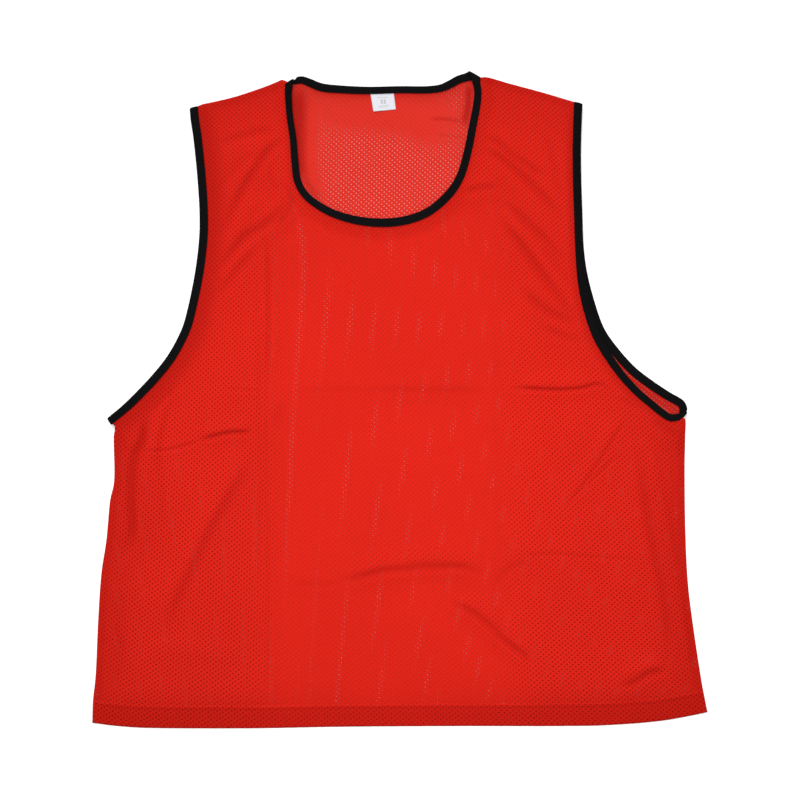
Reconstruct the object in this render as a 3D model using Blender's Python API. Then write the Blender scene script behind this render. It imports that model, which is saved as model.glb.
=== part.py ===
"""Training bib in sports mesh, laid flat on a surface with its front up.

Six closed cloth solids: the two panels lie on each other, a ring of folded tape binds the neck and
each armhole, and a label hangs inside the back of the neck. Each ring runs along the front panel's
edge, folds over at a crease and comes back along the back panel's edge. +X is to the right of
someone looking at the front, +Y is towards the neck and +Z is up. Sizes are in millimetres.
"""

import math
from collections import namedtuple

import bmesh
import bpy
from mathutils import Vector
from mathutils.geometry import delaunay_2d_cdt

MM = 0.001  # one millimetre in Blender's metres
TINY = 1e-9

# Cloth
PANEL_WALL = 1.0
HEM_WALL = 1.6  # the hem is the panel turned up on itself
HEM_DEPTH = 20.0
HEM_STEP = 0.8  # width of the step where the turned hem ends
SEAM_GAP = 0.3  # between pieces that touch
FRONT_LOFT = 1.7  # how far the middle of the front stands off the back
LOFT_REACH = 60.0  # from the outline to where the loft is full

# Binding tape, folded over the panels' raw edges
TAPE_WALL = 1.0
TAPE_NOSE = 1.1  # wall at the fold of the tape
TAPE_NOSE_BEND = 0.9  # length of the bevels at that fold
RAW_EDGE_INSET = TAPE_NOSE + SEAM_GAP + 0.1  # from the tape's free edge to the panel's raw edge
SLOT_HALF = PANEL_WALL / 2 + SEAM_GAP
BAND_HALF = SLOT_HALF + TAPE_WALL
BACK_BAND_Z = BAND_HALF  # the back's binding lies on the surface
FRONT_BAND_Z = BACK_BAND_Z + 2 * BAND_HALF + SEAM_GAP
NECK_BAND_Z = 3.6  # where the front neckline lies over the back panel alone
CREASE_RADIUS = (FRONT_BAND_Z - BACK_BAND_Z) / 2
CREASE_STEPS = 6
FAN_LENGTH = 9.0  # over which the tape's sections turn square to its run, beside a crease
BAND_STEP = 9.5  # between sections along the tape
CORNER_GAP = 0.5  # between a panel's corner and the tape's attached edge
FRONT_REACH = 30.0  # over which the front comes down from a binding
BACK_REACH = 15.0

# Spacing of the points that shape the panels
FRONT_GRID = 23.0
BACK_GRID = 36.0
FOLD_STEP = 12.0
EDGE_STEP = 14.0
HEM_EDGE_STEP = 22.0
STRIP_OFFSETS = (1.0, 5.5)  # rows that follow a binding, from its attached edge inwards
BEND_ROOM = 0.4  # how much nearer such a row may come inside a bend
LEVEL_STRIP = 1.3  # beside a binding, before the cloth starts down
FOLD_ROWS = (-1.3, -0.6, 0.0, 0.6, 1.3)  # rows across a fold, in half widths
EDGE_MARGIN = 5.0  # from the outline or the hem's step to the points of a fold
ROW_MARGIN = 2.0  # from the outline to the rows beside a binding
FOLD_TAPER = 4.0  # a fold dies away over a quarter of its length
FOLD_BLUNT = 0.15
FOLD_EASE = 12.0  # from the outline to where a fold has its height
EDGE_ROOM = 0.35  # from the outline to the grid's points, in grid steps
POINT_ROOM = 0.55  # from other points to the grid's
ROOM_X = 352.0  # half the width and length in which points are laid
ROOM_Y = 370.0
HEM_ROW_POINTS = 33

# Label
LABEL_WALL = 1.0
LABEL_COLUMNS = 5
LABEL_ROWS = 4

Crease = namedtuple("Crease", "attached_x attached_y free_x free_y")
BandRow = namedtuple("BandRow", "x y z half_width")
Point = namedtuple("Point", "x y")
Fold = namedtuple("Fold", "height half_width route")
Station = namedtuple("Station", "middle width normal half turned")

# Where a ring folds over from the front to the back: the ends of the line it turns about, on the
# tape's attached edge and on its free edge.
CREASES = {
    "neck_left": Crease(-125.1, 344.1, -115.5, 350.6),
    "neck_right": Crease(87.3, 351.5, 73.8, 359.2),
    "shoulder_left": Crease(-221.4, 319.8, -230.6, 317.4),
    "shoulder_right": Crease(190.6, 324.6, 200.2, 322.4),
    "armpit_left": Crease(-314.5, -25.4, -319.4, -18.3),
    "armpit_right": Crease(304.2, -21.1, 313.9, -11.7),
}

# Middle lines of the tape, each from one crease to the next: x, y, height, half width.
NECK_FRONT = [
    BandRow(-122.7, 338.5, FRONT_BAND_Z, 3.9),
    BandRow(-122.3, 328.0, FRONT_BAND_Z, 3.7),
    BandRow(-121.0, 311.0, 5.0, 3.6),
    BandRow(-117.6, 288.0, 4.0, 3.7),
    BandRow(-115.7, 264.0, NECK_BAND_Z, 3.9),
    BandRow(-112.6, 241.0, NECK_BAND_Z, 4.0),
    BandRow(-101.8, 223.2, NECK_BAND_Z, 4.1),
    BandRow(-77.7, 207.1, NECK_BAND_Z, 4.3),
    BandRow(-49.5, 198.0, NECK_BAND_Z, 4.6),
    BandRow(-20.9, 194.9, NECK_BAND_Z, 4.8),
    BandRow(6.5, 197.7, NECK_BAND_Z, 4.8),
    BandRow(31.3, 207.1, NECK_BAND_Z, 4.7),
    BandRow(53.0, 225.4, NECK_BAND_Z, 4.6),
    BandRow(66.6, 246.6, NECK_BAND_Z, 4.4),
    BandRow(74.8, 274.8, 4.0, 4.3),
    BandRow(79.8, 300.3, 5.0, 4.2),
    BandRow(84.3, 324.0, FRONT_BAND_Z, 4.1),
    BandRow(85.4, 341.0, FRONT_BAND_Z, 4.0),
]
NECK_BACK = [
    BandRow(66.0, 353.2, BACK_BAND_Z, 4.5),
    BandRow(55.0, 347.4, BACK_BAND_Z, 4.5),
    BandRow(44.0, 343.0, BACK_BAND_Z, 4.2),
    BandRow(27.5, 341.3, BACK_BAND_Z, 4.1),
    BandRow(0.0, 341.5, BACK_BAND_Z, 4.0),
    BandRow(-35.0, 340.6, BACK_BAND_Z, 4.2),
    BandRow(-66.0, 341.9, BACK_BAND_Z, 4.4),
    BandRow(-86.0, 344.0, BACK_BAND_Z, 4.6),
    BandRow(-100.0, 349.4, BACK_BAND_Z, 4.4),
    BandRow(-109.0, 352.2, BACK_BAND_Z, 4.1),
]
ARM_LEFT = [
    BandRow(-225.2, 307.0, FRONT_BAND_Z, 4.7),
    BandRow(-222.1, 286.0, FRONT_BAND_Z, 4.7),
    BandRow(-217.9, 244.0, FRONT_BAND_Z, 4.7),
    BandRow(-215.6, 205.0, FRONT_BAND_Z, 4.7),
    BandRow(-216.4, 173.0, FRONT_BAND_Z, 4.7),
    BandRow(-221.9, 132.0, FRONT_BAND_Z, 4.7),
    BandRow(-231.6, 88.0, FRONT_BAND_Z, 4.7),
    BandRow(-240.2, 66.0, FRONT_BAND_Z, 4.7),
    BandRow(-253.0, 44.0, FRONT_BAND_Z, 4.7),
    BandRow(-270.8, 22.0, FRONT_BAND_Z, 4.7),
    BandRow(-291.5, 0.5, FRONT_BAND_Z, 4.6),
    BandRow(-304.5, -11.5, FRONT_BAND_Z, 4.4),
]
ARM_RIGHT_FRONT = [
    BandRow(195.1, 308.0, FRONT_BAND_Z, 4.7),
    BandRow(194.2, 275.0, FRONT_BAND_Z, 4.7),
    BandRow(194.5, 242.0, FRONT_BAND_Z, 4.7),
    BandRow(195.6, 209.0, FRONT_BAND_Z, 4.7),
    BandRow(196.9, 170.5, FRONT_BAND_Z, 4.7),
    BandRow(199.6, 132.0, FRONT_BAND_Z, 4.7),
    BandRow(206.2, 99.0, FRONT_BAND_Z, 4.7),
    BandRow(218.2, 66.0, FRONT_BAND_Z, 4.6),
    BandRow(239.3, 33.0, 4.9, 4.3),
    BandRow(259.0, 10.5, 4.4, 4.1),
    BandRow(275.2, -3.6, 4.4, 4.0),
    BandRow(288.0, -14.0, 4.9, 4.0),
    BandRow(297.5, -19.4, FRONT_BAND_Z, 4.0),
]
ARM_RIGHT_BACK = [
    BandRow(311.8, -10.6, BACK_BAND_Z, 4.3),
    BandRow(309.8, -4.6, BACK_BAND_Z, 4.4),
    BandRow(304.2, -0.6, BACK_BAND_Z, 4.5),
    BandRow(295.0, 4.4, BACK_BAND_Z, 4.6),
    BandRow(275.0, 17.6, BACK_BAND_Z, 4.7),
    BandRow(255.3, 33.0, BACK_BAND_Z, 4.7),
    BandRow(235.5, 55.0, BACK_BAND_Z, 4.7),
    BandRow(220.0, 78.0, BACK_BAND_Z, 4.7),
    BandRow(208.8, 110.0, BACK_BAND_Z, 4.7),
    BandRow(200.8, 143.0, BACK_BAND_Z, 4.7),
    BandRow(196.9, 176.0, BACK_BAND_Z, 4.7),
    BandRow(195.6, 209.0, BACK_BAND_Z, 4.7),
    BandRow(194.5, 242.0, BACK_BAND_Z, 4.7),
    BandRow(194.2, 275.0, BACK_BAND_Z, 4.7),
    BandRow(195.1, 308.0, BACK_BAND_Z, 4.7),
]

# The rest of the outline, which both panels share, running anticlockwise seen from above.
HEM_EDGE = [
    Point(-338.8, -355.5),
    Point(-308.0, -359.2),
    Point(-268.0, -361.2),
    Point(-165.0, -361.5),
    Point(-66.0, -359.8),
    Point(60.0, -359.0),
    Point(176.0, -359.0),
    Point(232.0, -357.8),
    Point(290.0, -352.9),
    Point(338.6, -343.8),
]
SIDE_RIGHT = [
    Point(338.6, -343.8),
    Point(331.8, -308.0),
    Point(322.6, -247.0),
    Point(316.8, -198.0),
    Point(314.2, -140.0),
    Point(313.5, -80.0),
    Point(314.0, -42.0),
    Point(314.2, -26.0),
    Point(312.6, -19.6),
]
CORNER_ARMPIT_RIGHT = [Point(306.2, -25.2)]
CORNER_SHOULDER_RIGHT = [Point(191.0, 328.3)]
SHOULDER_RIGHT = [
    Point(188.5, 329.0),
    Point(157.3, 338.6),
    Point(121.0, 348.4),
    Point(102.0, 354.0),
    Point(92.6, 355.4),
]
CORNER_NECK_RIGHT = [Point(89.7, 354.6)]
CORNER_NECK_LEFT = [Point(-127.7, 347.2), Point(-124.2, 350.3)]
SHOULDER_LEFT = [
    Point(-126.8, 351.4),
    Point(-130.4, 351.9),
    Point(-138.0, 349.2),
    Point(-155.0, 342.8),
    Point(-184.0, 333.4),
    Point(-217.0, 325.6),
]
CORNER_SHOULDER_LEFT = [Point(-221.6, 323.6)]
SIDE_LEFT = [
    Point(-313.8, -28.6),
    Point(-313.7, -34.0),
    Point(-315.2, -44.0),
    Point(-314.8, -88.0),
    Point(-319.5, -112.0),
    Point(-323.4, -154.0),
    Point(-329.0, -192.0),
    Point(-332.4, -242.0),
    Point(-335.0, -300.0),
    Point(-338.0, -330.0),
    Point(-338.8, -355.5),
]

# Largest folds of the front: height, half width and route.
FRONT_FOLDS = [
    Fold(
        3.2, 7.0, [Point(-278, -12), Point(-288, -52), Point(-294, -108), Point(-293, -140), Point(-303, -175)]
    ),
    Fold(2.2, 8.0, [Point(-275, -56), Point(-205, -38), Point(-163, -35)]),
    Fold(2.6, 11.0, [Point(-160, -62), Point(-188, -112), Point(-228, -172), Point(-258, -238)]),
    Fold(2.2, 8.0, [Point(122, 15), Point(180, 12), Point(212, 17), Point(228, 16)]),
    Fold(3.0, 9.0, [Point(-62, -198), Point(-12, -187), Point(45, -184), Point(92, -191)]),
    Fold(2.6, 8.0, [Point(55, -222), Point(88, -240), Point(122, -266), Point(148, -292)]),
    Fold(2.0, 7.0, [Point(-206, 279), Point(-172, 290), Point(-142, 298)]),
    Fold(2.4, 7.0, [Point(-141, 278), Point(-165, 250), Point(-182, 230), Point(-199, 197)]),
    Fold(2.4, 7.5, [Point(-126, 222), Point(-147, 192), Point(-180, 163), Point(-199, 134)]),
    Fold(2.6, 7.5, [Point(92, 288), Point(124, 262), Point(156, 236), Point(182, 203)]),
    Fold(2.2, 7.0, [Point(108, 224), Point(142, 199), Point(176, 168)]),
    Fold(2.4, 8.0, [Point(114, 196), Point(152, 154), Point(188, 114)]),
    Fold(1.8, 8.0, [Point(134, 110), Point(168, 98), Point(194, 90)]),
    Fold(3.0, 13.0, [Point(262, -42), Point(277, -84), Point(293, -140), Point(303, -222)]),
    Fold(2.0, 10.0, [Point(240, -314), Point(270, -303), Point(294, -296)]),
]
# Folds of the back that show inside the neck.
BACK_FOLDS = [
    Fold(1.4, 6.0, [Point(-101, 336), Point(-101, 318), Point(-104, 296), Point(-108, 280)]),
    Fold(1.2, 8.0, [Point(22, 324), Point(50, 322), Point(70, 326)]),
    Fold(1.0, 14.0, [Point(-60, 300), Point(-20, 262), Point(20, 248)]),
]

LABEL_CORNERS = [
    Point(-32.4, 335.8),
    Point(-6.6, 336.8),
    Point(-4.5, 320.0),
    Point(-29.3, 317.6),
]


def lerp(start, end, share):
    """Blend two numbers or vectors."""
    return start + (end - start) * share


def smooth(value):
    """Ease a share of 0 to 1 in and out, and hold it there beyond."""
    value = min(1.0, max(0.0, value))
    return value * value * (3.0 - 2.0 * value)


def spline_point(p0, p1, p2, p3, t):
    """Point of the Catmull-Rom curve between p1 and p2, for rows of any width."""
    point = []
    for a, b, c, d in zip(p0, p1, p2, p3):
        square, cube = 2 * a - 5 * b + 4 * c - d, 3 * b - a - 3 * c + d
        point.append(b + 0.5 * ((c - a) * t + square * t * t + cube * t**3))
    return tuple(point)


def smooth_curve(rows, step, pieces=12):
    """Rows spaced evenly, about one step apart, on a smooth curve through the given rows."""
    rows = [tuple(row) for row in rows]
    padded = [rows[0], *rows, rows[-1]]
    fine = []
    for first in range(len(rows) - 1):
        window = padded[first : first + 4]
        fine += [spline_point(*window, piece / pieces) for piece in range(pieces)]
    fine.append(rows[-1])
    lengths = [0.0]
    for before, after in zip(fine, fine[1:]):
        lengths.append(lengths[-1] + math.dist(before[:2], after[:2]))
    count = max(1, round(lengths[-1] / step))
    spaced, cursor = [], 0
    for number in range(count + 1):
        target = lengths[-1] * number / count
        while cursor < len(fine) - 2 and lengths[cursor + 1] < target:
            cursor += 1
        span = lengths[cursor + 1] - lengths[cursor]
        share = (target - lengths[cursor]) / span if span else 0.0
        spaced.append(tuple(lerp(a, b, share) for a, b in zip(fine[cursor], fine[cursor + 1])))
    return spaced


def crease_section(crease):
    """Middle of a crease and the vector from there to the tape's free edge."""
    attached = Vector((crease.attached_x, crease.attached_y, 0.0))
    free = Vector((crease.free_x, crease.free_y, 0.0))
    return (attached + free) / 2, (free - attached) / 2


def flat_stations(rows, start, end, height_at_ends, facing):
    """Sections of the tape between two creases, square to its run but for the fans at its ends."""
    start_middle, start_width = crease_section(start)
    end_middle, end_width = crease_section(end)
    first = (start_middle.x, start_middle.y, height_at_ends, rows[0].half_width)
    last = (end_middle.x, end_middle.y, height_at_ends, rows[-1].half_width)
    line = smooth_curve([first, *rows, last], BAND_STEP)
    points = [Vector(row[:3]) for row in line]
    travelled = [0.0]
    for before, after in zip(points, points[1:]):
        travelled.append(travelled[-1] + (after - before).xy.length)
    stations, side = [], 0.0
    for index, (point, row) in enumerate(zip(points, line)):
        run = points[min(index + 1, len(points) - 1)] - points[max(index - 1, 0)]
        square = Vector((-run.y, run.x, 0.0)).normalized()
        side = side or math.copysign(1.0, square.dot(start_width))
        width = square * side * row[3]
        from_start = smooth(travelled[index] / FAN_LENGTH)
        from_end = smooth((travelled[-1] - travelled[index]) / FAN_LENGTH)
        width = lerp(start_width, width, from_start)
        width = lerp(end_width, width, from_end)
        turned = from_start < 1.0 or from_end < 1.0
        stations.append(Station(point, width, Vector((0, 0, facing)), row[3], turned))
    return stations


def crease_stations(crease, outward, upwards):
    """Sections round a crease, from the front layer to the back one or from the back upwards."""
    middle, width = crease_section(crease)
    middle = middle + Vector((0, 0, BACK_BAND_Z + CREASE_RADIUS))
    stations = []
    for step in range(1, CREASE_STEPS):
        angle = math.pi * step / CREASE_STEPS
        rise = -math.cos(angle) if upwards else math.cos(angle)
        normal = Vector((0, 0, rise)) + outward * math.sin(angle)
        stations.append(Station(middle + normal * CREASE_RADIUS, width, normal, width.length, True))
    return stations


def outward_of(crease, run):
    """Level direction square to a crease, pointing the way the tape runs as it comes to it."""
    width = crease_section(crease)[1].normalized()
    return (run - width * run.dot(width)).normalized()


def tape_section(station):
    """The folded tape's outline across its run, as points round it."""
    half = station.width.length
    along = station.width.normalized()
    slot_end = half - TAPE_NOSE
    shoulder = half - TAPE_NOSE_BEND
    outline = [
        (-half, BAND_HALF),
        (shoulder, BAND_HALF),
        (half, SLOT_HALF),
        (half, -SLOT_HALF),
        (shoulder, -BAND_HALF),
        (-half, -BAND_HALF),
        (-half, -SLOT_HALF),
        (slot_end, -SLOT_HALF),
        (slot_end, SLOT_HALF),
        (-half, SLOT_HALF),
    ]
    return [station.middle + along * across + station.normal * out for across, out in outline]


def ring_stations(front_rows, back_rows, start, end):
    """Sections all round a binding: along the front, over a crease and back along the back."""
    front = flat_stations(front_rows, CREASES[start], CREASES[end], FRONT_BAND_Z, 1.0)
    back = flat_stations(back_rows, CREASES[end], CREASES[start], BACK_BAND_Z, -1.0)
    leaving_front = front[-1].middle - front[-2].middle
    leaving_back = back[-1].middle - back[-2].middle
    over = crease_stations(CREASES[end], outward_of(CREASES[end], leaving_front), False)
    under = crease_stations(CREASES[start], outward_of(CREASES[start], leaving_back), True)
    return front, back, front + over + back + under


def solid_from(name, points, faces, material):
    """Make one object of closed faces, shaded smooth except at its sharp edges."""
    mesh = bpy.data.meshes.new(name)
    mesh.from_pydata([point * MM for point in points], [], faces)
    work = bmesh.new()
    work.from_mesh(mesh)
    bmesh.ops.triangulate(work, faces=work.faces[:])
    bmesh.ops.recalc_face_normals(work, faces=work.faces[:])
    work.to_mesh(mesh)
    work.free()
    mesh.shade_smooth()
    mesh.set_sharp_from_angle(angle=math.radians(40))
    mesh.materials.append(material)
    item = bpy.data.objects.new(name, mesh)
    bpy.context.scene.collection.objects.link(item)
    return item


def make_binding(name, stations, material):
    """Sweep the folded tape's section round its ring."""
    points, faces = [], []
    for station in stations:
        points += tape_section(station)
    size = len(points) // len(stations)
    for ring in range(len(stations)):
        following = (ring + 1) % len(stations)
        for corner in range(size):
            near, far = ring * size + corner, ring * size + (corner + 1) % size
            shift = (following - ring) * size
            faces.append((near, far, far + shift, near + shift))
    return solid_from(name, points, faces, material)


def panel_edge(stations):
    """The panel's outline along a binding: inside the tape, and round its attached edge by a crease."""
    edge, was_turned, last_outside = [], True, None
    for station in stations:
        along = station.width.normalized()
        inside = station.middle + along * (station.width.length - RAW_EDGE_INSET)
        outside = station.middle - along * (station.width.length + CORNER_GAP)
        if was_turned and not station.turned:
            edge.append(outside)
        elif station.turned and not was_turned:
            edge.append(last_outside)
        edge.append(outside if station.turned else inside)
        was_turned, last_outside = station.turned, outside
    return [point.xy for point in edge]


def near_line(point, line):
    """Distance from a point to a line of vectors, level, with the height there and the end share."""
    best = None
    for number, (start, end) in enumerate(zip(line, line[1:])):
        run = (end - start).xy
        share = min(1.0, max(0.0, (point - start.xy).dot(run) / max(run.length_squared, TINY)))
        gap = (start.xy + run * share - point).length
        if best is None or gap < best[0]:
            best = (gap, lerp(start.z, end.z, share), (number + share) / (len(line) - 1))
    return best


class Panel:
    """One cloth panel: its outline, the lines that shape it and its height at each place."""

    def __init__(self, bands, folds, reach, grid):
        """Take the sections of the bindings on this panel's edge and its folds."""
        self.bands = bands
        self.lines = [[station.middle for station in band] for band in bands]
        self.halves = [[station.half for station in band] for band in bands]
        self.folds = [
            (fold, [Vector((*row[:2], 0.0)) for row in smooth_curve(fold.route, FOLD_STEP)]) for fold in folds
        ]
        self.reach = reach
        self.grid = grid
        neck, arm_left, arm_right = (panel_edge(band) for band in bands)
        self.outline = [Vector(row) for row in smooth_curve(HEM_EDGE, HEM_EDGE_STEP)[:-1]]
        self.outline += [Vector(row) for row in smooth_curve(SIDE_RIGHT, EDGE_STEP)]
        self.outline += [Vector(point) for point in CORNER_ARMPIT_RIGHT]
        self.outline += list(arm_right)
        self.outline += [Vector(point) for point in CORNER_SHOULDER_RIGHT]
        self.outline += [Vector(row) for row in smooth_curve(SHOULDER_RIGHT, EDGE_STEP)]
        self.outline += [Vector(point) for point in CORNER_NECK_RIGHT]
        self.outline += list(neck)
        self.outline += [Vector(point) for point in CORNER_NECK_LEFT]
        self.outline += [Vector(row) for row in smooth_curve(SHOULDER_LEFT, EDGE_STEP)]
        self.outline += [Vector(point) for point in CORNER_SHOULDER_LEFT]
        self.outline += list(arm_left)
        self.outline += [Vector(row) for row in smooth_curve(SIDE_LEFT, EDGE_STEP)[:-1]]
        sewn = (HEM_EDGE, SIDE_RIGHT, SHOULDER_RIGHT, SHOULDER_LEFT, SIDE_LEFT)
        self.sewn = [[Vector((*point, 0.0)) for point in line] for line in sewn]

    def hem_share(self, place):
        """1 in the turned hem, 0 above it, and between in the step at its top."""
        above = place.y - hem_height(place.x) - HEM_DEPTH + HEM_STEP / 2
        return 1.0 - min(1.0, max(0.0, above / HEM_STEP))

    def wall(self, place):
        """Thickness of the cloth."""
        return lerp(PANEL_WALL, HEM_WALL, self.hem_share(place))

    def base(self, place):
        """Height of the cloth's underside away from bindings and folds."""
        raise NotImplementedError

    def fold_height(self, place):
        """What the folds add."""
        total = 0.0
        for fold, line in self.folds:
            gap, _, share = near_line(place, line)
            if gap < 3 * fold.half_width:
                taper = smooth(FOLD_TAPER * min(share, 1 - share) + FOLD_BLUNT)
                total = max(total, fold.height * taper * math.exp(-((gap / fold.half_width) ** 2)))
        return total

    def underside(self, place):
        """Height of the cloth's underside."""
        level = self.base(place)
        for line, halves in zip(self.lines, self.halves):
            gap, height, share = near_line(place, line)
            half = halves[round(share * (len(halves) - 1))]
            weight = 1.0 - smooth((gap - half - LEVEL_STRIP) / self.reach)
            level = lerp(level, height - PANEL_WALL / 2, weight)
        return level

    def inside(self, place, margin):
        """Whether a place is inside the outline and a margin away from it."""
        crossings, nearest = 0, margin + 1
        for start, end in zip(self.outline, self.outline[1:] + self.outline[:1]):
            if (start.y > place.y) != (end.y > place.y):
                across = start.x + (place.y - start.y) * (end.x - start.x) / (end.y - start.y)
                crossings += across > place.x
            run = end - start
            share = min(1.0, max(0.0, (place - start).dot(run) / max(run.length_squared, TINY)))
            nearest = min(nearest, (start + run * share - place).length)
        return crossings % 2 == 1 and nearest >= margin

    def strip_points(self):
        """Points in rows beside the bindings, where the cloth leaves them."""
        points = []
        for band, line in zip(self.bands, self.lines):
            for offset in STRIP_OFFSETS:
                for station in band:
                    away = station.width.length + offset
                    place = (station.middle - station.width.normalized() * away).xy
                    clear = near_line(place, line)[0] > station.half + offset - BEND_ROOM
                    if not station.turned and clear and self.inside(place, ROW_MARGIN):
                        points.append(place)
        return points

    def fold_points(self):
        """Points along each fold and at its two feet."""
        points = []
        for fold, line in self.folds:
            for number, point in enumerate(line):
                run = (line[min(number + 1, len(line) - 1)] - line[max(number - 1, 0)]).xy.normalized()
                square = Vector((-run.y, run.x))
                for share in FOLD_ROWS:
                    points.append(point.xy + square * fold.half_width * share)
        return [place for place in points if self.inside(place, EDGE_MARGIN) and not self.near_hem(place)]

    def near_hem(self, place):
        """Whether a place is close to the step at the top of the hem."""
        return abs(place.y - hem_height(place.x) - HEM_DEPTH) < EDGE_MARGIN

    def grid_points(self, taken):
        """Points of an even triangular grid in the room that is left."""
        points, row, level = [], 0, -ROOM_Y
        while level < ROOM_Y:
            across = -ROOM_X + (row % 2) * self.grid / 2
            while across < ROOM_X:
                place = Vector((across, level))
                if not self.near_hem(place) and self.inside(place, self.grid * EDGE_ROOM):
                    if all((place - other).length > self.grid * POINT_ROOM for other in taken):
                        points.append(place)
                across += self.grid
            level += self.grid * math.sqrt(3) / 2
            row += 1
        return points

    def make(self, name, material, extra=()):
        """Triangulate the panel and give it its wall."""
        loop = len(self.outline)
        places = list(self.outline)
        edges = [(number, (number + 1) % loop) for number in range(loop)]
        for lift in (-HEM_STEP / 2, HEM_STEP / 2):
            first = len(places)
            for number in range(HEM_ROW_POINTS):
                across = ROOM_X * (2 * number / (HEM_ROW_POINTS - 1) - 1)
                places.append(Vector((across, hem_height(across) + HEM_DEPTH + lift)))
            edges += [(number, number + 1) for number in range(first, len(places) - 1)]
        taken = self.strip_points() + list(extra)
        for place in self.fold_points():
            if all((place - other).length > EDGE_MARGIN for other in taken):
                taken.append(place)
        places += taken + self.grid_points(taken)
        flat, _, faces, _, _, _ = delaunay_2d_cdt(places, edges, [list(range(loop))], 1, 1e-4)
        used = sorted({corner for face in faces for corner in face})
        place_of = {corner: number for number, corner in enumerate(used)}
        faces = [[place_of[corner] for corner in face] for face in faces]
        lower = [Vector((*flat[corner], self.underside(flat[corner]))) for corner in used]
        upper = [point + Vector((0, 0, self.wall(point.xy))) for point in lower]
        count = len(used)
        sides = {}
        for face in faces:
            for start, end in zip(face, face[1:] + face[:1]):
                sides[(start, end)] = (end, start) not in sides
                if not sides[(start, end)]:
                    sides[(end, start)] = False
        closed = [[corner + count for corner in face] for face in faces]
        closed += [list(reversed(face)) for face in faces]
        closed += [[start, end, end + count, start + count] for (start, end), rim in sides.items() if rim]
        return solid_from(name, lower + upper, closed, material)


def hem_height(across):
    """Height up the sheet of the hem's edge at a place across it."""
    for start, end in zip(HEM_EDGE, HEM_EDGE[1:]):
        if across <= end.x:
            break
    return lerp(start.y, end.y, (across - start.x) / (end.x - start.x))


class BackPanel(Panel):
    """The back, which lies on the surface."""

    def base(self, place):
        """The back lies flat but for the folds that show inside the neck."""
        return self.fold_height(place)


class FrontPanel(Panel):
    """The front, which lies on the back."""

    def base(self, place):
        """Above the back's wall, lifted in the middle and by the folds."""
        inwards = min(near_line(place, line)[0] for line in self.sewn)
        loft = FRONT_LOFT * smooth(inwards / LOFT_REACH)
        return self.wall(place) + SEAM_GAP + loft + self.fold_height(place) * smooth(inwards / FOLD_EASE)


def label_places():
    """Places of the label's points, row by row from its sewn end."""
    top_left, top_right, low_right, low_left = (Vector(corner) for corner in LABEL_CORNERS)
    places = []
    for row in range(LABEL_ROWS + 1):
        left = lerp(top_left, low_left, row / LABEL_ROWS)
        right = lerp(top_right, low_right, row / LABEL_ROWS)
        places += [lerp(left, right, column / LABEL_COLUMNS) for column in range(LABEL_COLUMNS + 1)]
    return places


def make_label(back, material):
    """Lay the label on the back panel, from the panel's own points moved out."""
    places = label_places()
    lower = [Vector((*place, back.underside(place) + PANEL_WALL + SEAM_GAP)) for place in places]
    upper = [point + Vector((0, 0, LABEL_WALL)) for point in lower]
    wide, count = LABEL_COLUMNS + 1, len(places)
    faces = []
    for row in range(LABEL_ROWS):
        for column in range(LABEL_COLUMNS):
            corner = row * wide + column
            square = [corner, corner + 1, corner + wide + 1, corner + wide]
            faces += [square, [number + count for number in reversed(square)]]
    rim = list(range(wide)) + [row * wide + wide - 1 for row in range(1, LABEL_ROWS + 1)]
    rim += [LABEL_ROWS * wide + column for column in range(LABEL_COLUMNS - 1, -1, -1)]
    rim += [row * wide for row in range(LABEL_ROWS - 1, 0, -1)]
    for start, end in zip(rim, rim[1:] + rim[:1]):
        faces.append([start, end, end + count, start + count])
    return solid_from("size_label", lower + upper, faces, material)


def make_material(name, colour, roughness):
    """A plain cloth material."""
    material = bpy.data.materials.new(name)
    material.use_nodes = True
    shader = material.node_tree.nodes["Principled BSDF"]
    shader.inputs["Base Color"].default_value = (*colour, 1.0)
    shader.inputs["Roughness"].default_value = roughness
    shader.inputs["Metallic"].default_value = 0.0
    return material


def centre_plan(items):
    """Move the meshes so that the middle of the whole plan is at the origin."""
    corners = [vertex.co for item in items for vertex in item.data.vertices]
    across = (min(c.x for c in corners) + max(c.x for c in corners)) / 2
    along = (min(c.y for c in corners) + max(c.y for c in corners)) / 2
    for item in items:
        for vertex in item.data.vertices:
            vertex.co -= Vector((across, along, 0.0))


def main():
    """Build the six pieces."""
    for item in list(bpy.data.objects):
        bpy.data.objects.remove(item)
    red = make_material("red_mesh", (0.72, 0.022, 0.012), 0.8)
    black = make_material("black_binding", (0.007, 0.007, 0.008), 0.75)
    white = make_material("label_satin", (0.8, 0.81, 0.84), 0.5)

    left_back_rows = [row._replace(z=BACK_BAND_Z) for row in reversed(ARM_LEFT)]
    neck_front, neck_back, neck = ring_stations(NECK_FRONT, NECK_BACK, "neck_left", "neck_right")
    left_front, left_back, left = ring_stations(ARM_LEFT, left_back_rows, "shoulder_left", "armpit_left")
    right_front, right_back, right = ring_stations(
        ARM_RIGHT_FRONT, ARM_RIGHT_BACK, "shoulder_right", "armpit_right"
    )
    front = FrontPanel(
        [neck_front[::-1], left_front, right_front[::-1]], FRONT_FOLDS, FRONT_REACH, FRONT_GRID
    )
    back = BackPanel([neck_back, left_back[::-1], right_back], BACK_FOLDS, BACK_REACH, BACK_GRID)

    items = [
        back.make("back_panel", red, extra=label_places()),
        front.make("front_panel", red),
        make_binding("neck_binding", neck, black),
        make_binding("armhole_binding_left", left, black),
        make_binding("armhole_binding_right", right, black),
        make_label(back, white),
    ]
    centre_plan(items)
    for item in items:
        print(item.name, len(item.data.polygons), "faces")


main()
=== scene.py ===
"""Training bib in red sports mesh, laid flat with its front up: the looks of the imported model.

The panels, the folded tapes and the label are made again as thin cloth on the forms of the model's
solids, and sewn with rows of stitches. Plan sizes are in millimetres, +X to the right of someone
looking at the front and +Y towards the neck, and each mesh is made in metres in the frame's axes.
"""

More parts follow.
